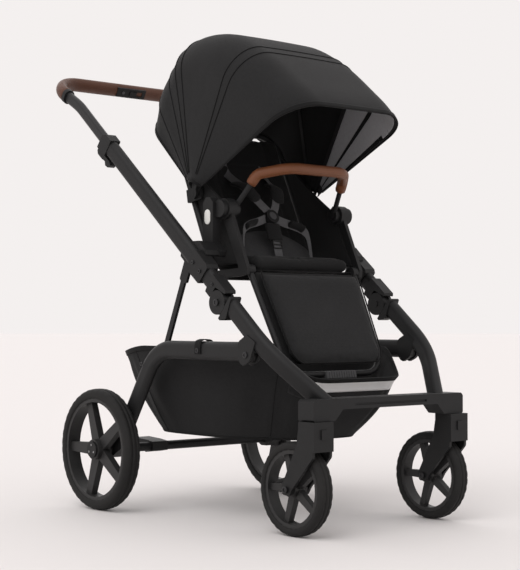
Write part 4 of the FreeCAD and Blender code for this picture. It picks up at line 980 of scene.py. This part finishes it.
backrest_place = turned(on_back(0, 222, 4), math.degrees(BACK_LEAN))
backrest = new_piece("backrest_cover", soft_box((300, 326, 26), backrest_place, 11.0), SEAT_CLOTH)
plump(backrest, 8.0)


def backrest_dents(co):
    up = (co - on_back(0, 0, 0)).dot(BACK_ALONG) * 1000
    out = (co - on_back(0, 0, 0)).dot(BACK_OUT) * 1000
    sides = sum(math.exp(-((co.x * 1000 - side) / 4.0) ** 2) for side in (-88, 88)) * 3.0
    rows = sum(math.exp(-((up - row) / 4.0) ** 2) for row in (120, 205, 290)) * 2.0
    return (sides + rows * (1.0 if abs(co.x) < 0.088 else 0.0)) * (1.0 if out > 8 else 0.0)


dent(backrest, backrest_dents)
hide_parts("backrest_cushion")
on_seat(backrest)


def lower_liner(u, v):
    """The grey panel at the foot of the backrest, cut in a curve along its top."""
    x = mix(-128, 128, u)
    top = 112 - 46 * (abs(x) / 128) ** 2.2
    up = mix(30, top, v)
    bow = 6 * math.sin(math.pi * u) * math.sin(math.pi * v)
    return on_back(x, up, 25 + bow + 18 * (1 - v) ** 2)


liner_panel = new_piece("backrest_liner_panel", shaped_grid(40, 18, lower_liner), PANEL_CLOTH)
thicken(liner_panel, 2.4, 0.0, 1)
on_seat(liner_panel)

for side_name, sign in SIDES:

    def side_wing(u, v):
        """The cloth side of the seat between the back frame and the arm, from u 0 behind to 1 ahead."""
        low = at(sign * 158, 30, 578).lerp(at(sign * 168, -94, 584), u)
        high = on_back(sign * 158, 345, 4).lerp(at(sign * 168, -30, 714), u)
        high.z -= 0.008 * math.sin(math.pi * u)
        here = low.lerp(high, v)
        here.x += sign * 0.004 * math.sin(math.pi * u) * math.sin(math.pi * v)
        return here

    wing = new_piece(f"seat_side_{side_name}", shaped_grid(24, 24, side_wing), SEAT_CLOTH)
    thicken(wing, 2.6, 0.0, 1)
    on_seat(wing)
    edge = Line([side_wing(k / 24, 1.0) for k in range(25)])
    wing_edge = new_piece(f"seat_side_edge_{side_name}", swept(edge, X_AXIS, 5.0, 5.0, around=10), BINDING)
    on_seat(wing_edge)


# ---- leg rest

REST_LEAN = math.radians(26.7)
REST_DOWN = Vector((0, -math.sin(REST_LEAN), -math.cos(REST_LEAN)))
REST_FRONT = Vector((0, -math.cos(REST_LEAN), math.sin(REST_LEAN)))
REST_TOP = (-101.0, 568.0)


def on_rest(x, down, front):
    return at(x, *REST_TOP) + (REST_DOWN * down + REST_FRONT * front) / 1000


def rest_half_width(down):
    taper = mix(150.0, 139.0, ramp(down, 0.0, 250.0))
    return taper - 44.0 * (1 - math.sqrt(max(1 - ramp_line(down, 206.0, 250.0) ** 2, 0.0)))


def ramp_line(t, low, high):
    return min(max((t - low) / (high - low), 0.0), 1.0)


def rest_pad(u, v):
    """A closed flat pad: u from side to side and round the back, v from the top down."""
    down = mix(16.0, 248.0, v)
    half = rest_half_width(min(down, 247.0))
    turn = u * math.tau
    x = half * math.copysign(abs(math.cos(turn)) ** 0.35, math.cos(turn))
    thick = 9.0 * min(1.0, math.sqrt(max(math.sin(math.pi * mix(0.02, 0.98, v)), 0.0)) * 1.6)
    front = 15.0 + thick * math.copysign(abs(math.sin(turn)) ** 0.5, math.sin(turn))
    return on_rest(x, down, front)


bm = shaped_grid(64, 44, rest_pad, close=True)
bmesh.ops.holes_fill(bm, edges=[e for e in bm.edges if e.is_boundary], sides=0)
bmesh.ops.triangulate(bm, faces=[f for f in bm.faces if len(f.verts) > 4])
bmesh.ops.recalc_face_normals(bm, faces=bm.faces)
leg_pad = new_piece("leg_rest_cover", bm, LEG_REST_CLOTH)
plump(leg_pad, 3.5, 3.0)
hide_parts("leg_rest_pad")
on_seat(leg_pad, body="leg_rest")

def rest_backing_point(u, v):
    """The cloth behind the pad, stretched from tube to tube."""
    down = mix(8.0, 236.0, v)
    half = 160.0 - 52.0 * (1 - math.sqrt(max(1 - ramp_line(down, 190.0, 240.0) ** 2, 0.0)))
    return on_rest(mix(-half, half, u), down, 2.0)


rest_backing = new_piece("leg_rest_backing", shaped_grid(40, 40, rest_backing_point), SEAT_CLOTH)
thicken(rest_backing, 1.6, 0.0)
on_seat(rest_backing, body="leg_rest")

outline = [on_rest(sign_x * rest_half_width(down), down, 22.5)
           for sign_x, downs in ((1, range(16, 245, 6)), (-1, range(244, 15, -6)))
           for down in downs]
rest_edge = new_piece(
    "leg_rest_piping", swept(Line(outline), REST_FRONT, 3.4, 3.4, around=8, along=180), BINDING
)
on_seat(rest_edge, body="leg_rest")


def ribbed_pad():
    """The footrest pad: a rounded block with ribs across its face."""
    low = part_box("footrest_pad")
    centre = (Vector(low[0]) + Vector(low[1])) / 2
    bm = bmesh.new()
    bmesh.ops.create_cube(bm, size=1.0)
    bmesh.ops.scale(bm, vec=Vector((0.092, 0.027, 0.02)), verts=bm.verts)
    bmesh.ops.bevel(bm, geom=bm.edges[:], offset=0.004, offset_type="OFFSET", segments=3, profile=0.5,
                    affect="EDGES", material=-1)
    for k in range(11):
        x = mix(-0.038, 0.038, k / 10)
        spot = Matrix.Translation((x, -0.0135, 0)) @ Matrix.Diagonal((0.0036, 0.003, 0.015, 1))
        bmesh.ops.create_cube(bm, size=1.0, matrix=spot)
    bmesh.ops.transform(bm, matrix=turned(centre, -13.0), verts=bm.verts)
    obj = new_piece("footrest_ribbed_pad", bm, SOLE_RUBBER, smooth=False)
    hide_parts("footrest_pad")
    return on_seat(obj, "leg_rest")


ribbed_pad()


# ---- harness

BUCKLE = (0.0, 10.0, 700.0)


def by_buckle(x, y, z):
    return at(BUCKLE[0] + x, BUCKLE[1] + y, BUCKLE[2] + z)


def curve_through(points, count=30):
    """A smooth line through points."""
    out = []
    last = len(points) - 1
    for i in range(count + 1):
        t = i / count * last
        k = min(int(t), last - 1)
        p0, p1 = points[max(k - 1, 0)], points[k]
        p2, p3 = points[k + 1], points[min(k + 2, last)]
        f = t - k
        out.append(0.5 * ((2 * p1) + (p2 - p0) * f + (2 * p0 - 5 * p1 + 4 * p2 - p3) * f * f
                          + (3 * p1 - p0 - 3 * p2 + p3) * f ** 3))
    return out


def harness_pad(name, points, width, thick, material):
    """A soft sleeve round a strap."""
    line = Line(curve_through(points, 16))

    def section(u, v):
        return max(min(1.0, math.sqrt(max(math.sin(math.pi * mix(0.01, 0.99, v)), 0.0)) * 1.9), 0.2)

    flat = Vector((0, -0.8, 0.6))
    pad = new_piece(name, swept(line, flat, width, thick, section, around=28, along=34), material)
    return on_seat(pad)


harness_parts = []
for side_name, sign in SIDES:
    shoulder = curve_through([
        by_buckle(sign * 10, 2, 14), by_buckle(sign * 26, 14, 34), by_buckle(sign * 48, 42, 70),
        on_back(sign * 60, 262, 26), on_back(sign * 62, 300, 22),
    ])
    harness_parts.append(strap(f"shoulder_strap_{side_name}", shoulder, X_AXIS + Vector((0, 0, -sign * 0.4)),
                               23.0, 1.6, WEBBING))
    waist = curve_through([
        by_buckle(sign * 16, 2, -4), by_buckle(sign * 44, -2, -13), by_buckle(sign * 78, -8, -22),
        by_buckle(sign * 98, -16, -36), by_buckle(sign * 104, -22, -66), by_buckle(sign * 106, -26, -102),
    ])
    waist_side = Vector((sign * 0.25, -0.1, 1))
    harness_parts.append(strap(f"waist_strap_{side_name}", waist, waist_side, 20.0, 1.6, WEBBING))
    harness_pad(f"shoulder_pad_{side_name}",
                [by_buckle(sign * 30, 14, 38), by_buckle(sign * 49, 38, 72), on_back(sign * 58, 235, 33)],
                38.0, 10.0, PAD_CLOTH)
    harness_pad(f"waist_pad_{side_name}",
                [by_buckle(sign * x, y, z) for x, y, z in ((50, -4, -14), (76, -9, -21), (92, -14, -29))],
                12.0, 26.0, PAD_CLOTH)
crotch = curve_through([
    by_buckle(0, -4, -14), by_buckle(0, -14, -50), by_buckle(0, -26, -84), by_buckle(0, -30, -103),
])
harness_parts.append(strap("crotch_strap", crotch, X_AXIS, 24.0, 1.8, WEBBING))
crotch_pad_line = [by_buckle(0, -2, -14), by_buckle(0, -9, -36), by_buckle(0, -16, -58)]
harness_pad("crotch_pad", crotch_pad_line, 46.0, 12.0, PAD_CLOTH)
for piece in harness_parts:
    on_seat(piece)
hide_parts("harness_straps")


def ladder_lock(name, centre, lean):
    """A strap adjuster: a frame with two bars."""
    bm = bmesh.new()
    bars = ((0, 9, 30, 3), (0, -9, 30, 3), (0, 0, 26, 3), (13.5, 0, 3, 18), (-13.5, 0, 3, 18))
    for x, z, wide, tall in bars:
        shape = Matrix.Diagonal((wide / 1000, 0.003, tall / 1000, 1))
        spot = Matrix.Translation(Vector((x, 0, z)) / 1000) @ shape
        bmesh.ops.create_cube(bm, size=1.0, matrix=spot)
    bmesh.ops.bevel(bm, geom=bm.edges[:], offset=0.0006, offset_type="OFFSET", segments=2, profile=0.5,
                    affect="EDGES", material=-1)
    bmesh.ops.transform(bm, matrix=turned(centre, lean), verts=bm.verts)
    obj = new_piece(name, bm, BLACK_MOULD, smooth=False)
    return on_seat(obj)


ladder_lock("crotch_ladder_lock", by_buckle(0, -23, -66), -14)


# ---- small hardware


def pill(name, centre, across, tall, axis, body, material, proud=1.4):
    """A rounded badge set into a face that looks along axis."""
    bm = bmesh.new()
    bmesh.ops.create_circle(bm, cap_ends=True, segments=32, radius=across / 2000)
    for vert in bm.verts:
        vert.co.y += math.copysign((tall - across) / 2000, vert.co.y)
    raised = bmesh.ops.extrude_face_region(bm, geom=bm.faces[:])
    top = [v for v in raised["geom"] if isinstance(v, bmesh.types.BMVert)]
    crown = [f for f in raised["geom"] if isinstance(f, bmesh.types.BMFace)]
    bmesh.ops.translate(bm, vec=(0, 0, proud / 1000), verts=top)
    bmesh.ops.inset_region(bm, faces=crown, thickness=0.0012, depth=0.0005)
    turn = Matrix.Rotation(math.radians(90), 4, "X")
    if abs(axis[0]) > 0.5:
        turn = Matrix.Rotation(math.copysign(math.radians(90), axis[0]), 4, "Z") @ turn
    bmesh.ops.transform(bm, matrix=Matrix.Translation(centre) @ turn, verts=bm.verts)
    bmesh.ops.recalc_face_normals(bm, faces=bm.faces)
    obj = new_piece(name, bm, material)
    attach(obj, body)
    return obj


PIN_HEADS = (
    ("fold_pin_head", -10, -16, 17.0, 8.0, "chassis"),
    ("leg_pin_head", -158, -40.5, 14.8, 7.0, "rear_frame"),
    ("clamp_screw_upper", 112, 0, 17.0, 4.5, "upper_frame"),
    ("clamp_screw_lower", 80, 0, 17.0, 4.5, "upper_frame"),
    ("knuckle_screw", 28, 4, 15.2, 4.0, "upper_frame"),
)

for side_name, sign in SIDES:
    outward = (sign, 0, 0)
    tower_face = at(sign * 208.6, -9, 690)
    pill(f"tower_reflector_{side_name}", tower_face, 20.0, 34.0, outward, "upper_frame", LENS_WHITE)
    for label, s, n, out, radius, body in PIN_HEADS:
        screw(f"{label}_{side_name}", on_tube(sign * (HALF_FRAME + out), s, n), outward, radius, body)
    screw(f"leg_screw_upper_{side_name}", at(sign * 260.2, 176, 352), outward, 4.5, "rear_frame")
    screw(f"leg_screw_lower_{side_name}", at(sign * 263.4, 285, 170), outward, 5.0, "rear_frame")
    for step in range(3):
        angle = math.radians(120.0 * step + 90)
        centre = at(sign * 311.2, 309 + 11 * math.cos(angle), 145 + 11 * math.sin(angle))
        wheel = f"rear_wheel_{side_name}"
        screw(f"hub_screw_{side_name}_{step}", centre, outward, 2.4, wheel, SCREW_STEEL, 0.6)
    for tag, side in (("outer", 1), ("inner", -1)):
        centre = at(sign * 209 + side * 31.0, *FRONT_AXLE)
        bolt = f"axle_bolt_{side_name}_{tag}"
        screw(bolt, centre, (side, 0, 0), 7.5, f"caster_{side_name}", PIN_BLACK, 2.2)


# ---- studio

floor = bpy.data.materials.new("pale_floor")
floor.use_nodes = True
floor.node_tree.nodes["Principled BSDF"].inputs["Base Color"].default_value = (0.74, 0.713, 0.706, 1)
floor.node_tree.nodes["Principled BSDF"].inputs["Roughness"].default_value = 0.9
bm = bmesh.new()
bmesh.ops.create_circle(bm, cap_ends=True, segments=96, radius=40.0)
ground = new_piece("studio_floor", bm, floor, smooth=False)

world = bpy.data.worlds.new("studio_air")
world.use_nodes = True
world.node_tree.nodes["Background"].inputs["Color"].default_value = (0.905, 0.872, 0.863, 1)
world.node_tree.nodes["Background"].inputs["Strength"].default_value = 1.0
bpy.context.scene.world = world


def lamp(name, place, strength, spread):
    """A broad even light from a far place, aimed at the stroller's middle."""
    light = bpy.data.lights.new(name, "SUN")
    light.energy = strength
    light.angle = math.radians(spread)
    obj = bpy.data.objects.new(name, light)
    bpy.context.scene.collection.objects.link(obj)
    obj.location = place
    obj.rotation_euler = (Vector((0, 0, 0.5)) - Vector(place)).to_track_quat("-Z", "Y").to_euler()


lamp("key_light", (-3.2, -1.2, 4.2), 1.0, 50)
lamp("rim_light", (1.6, 3.0, 3.0), 0.45, 60)

camera_data = bpy.data.cameras.new("camera")
camera_data.lens = 89.36
camera_data.sensor_width = 36.0
camera_data.clip_end = 200.0
camera = bpy.data.objects.new("camera", camera_data)
camera.location = (-2.20871, -2.53478 + MIDDLE / 1000, 0.45865)
camera.rotation_euler = (math.radians(91.356), 0.0, math.radians(-40.497))
bpy.context.scene.collection.objects.link(camera)
bpy.context.scene.camera = camera
bpy.context.scene.view_settings.view_transform = "Standard"

bpy.context.view_layer.update()
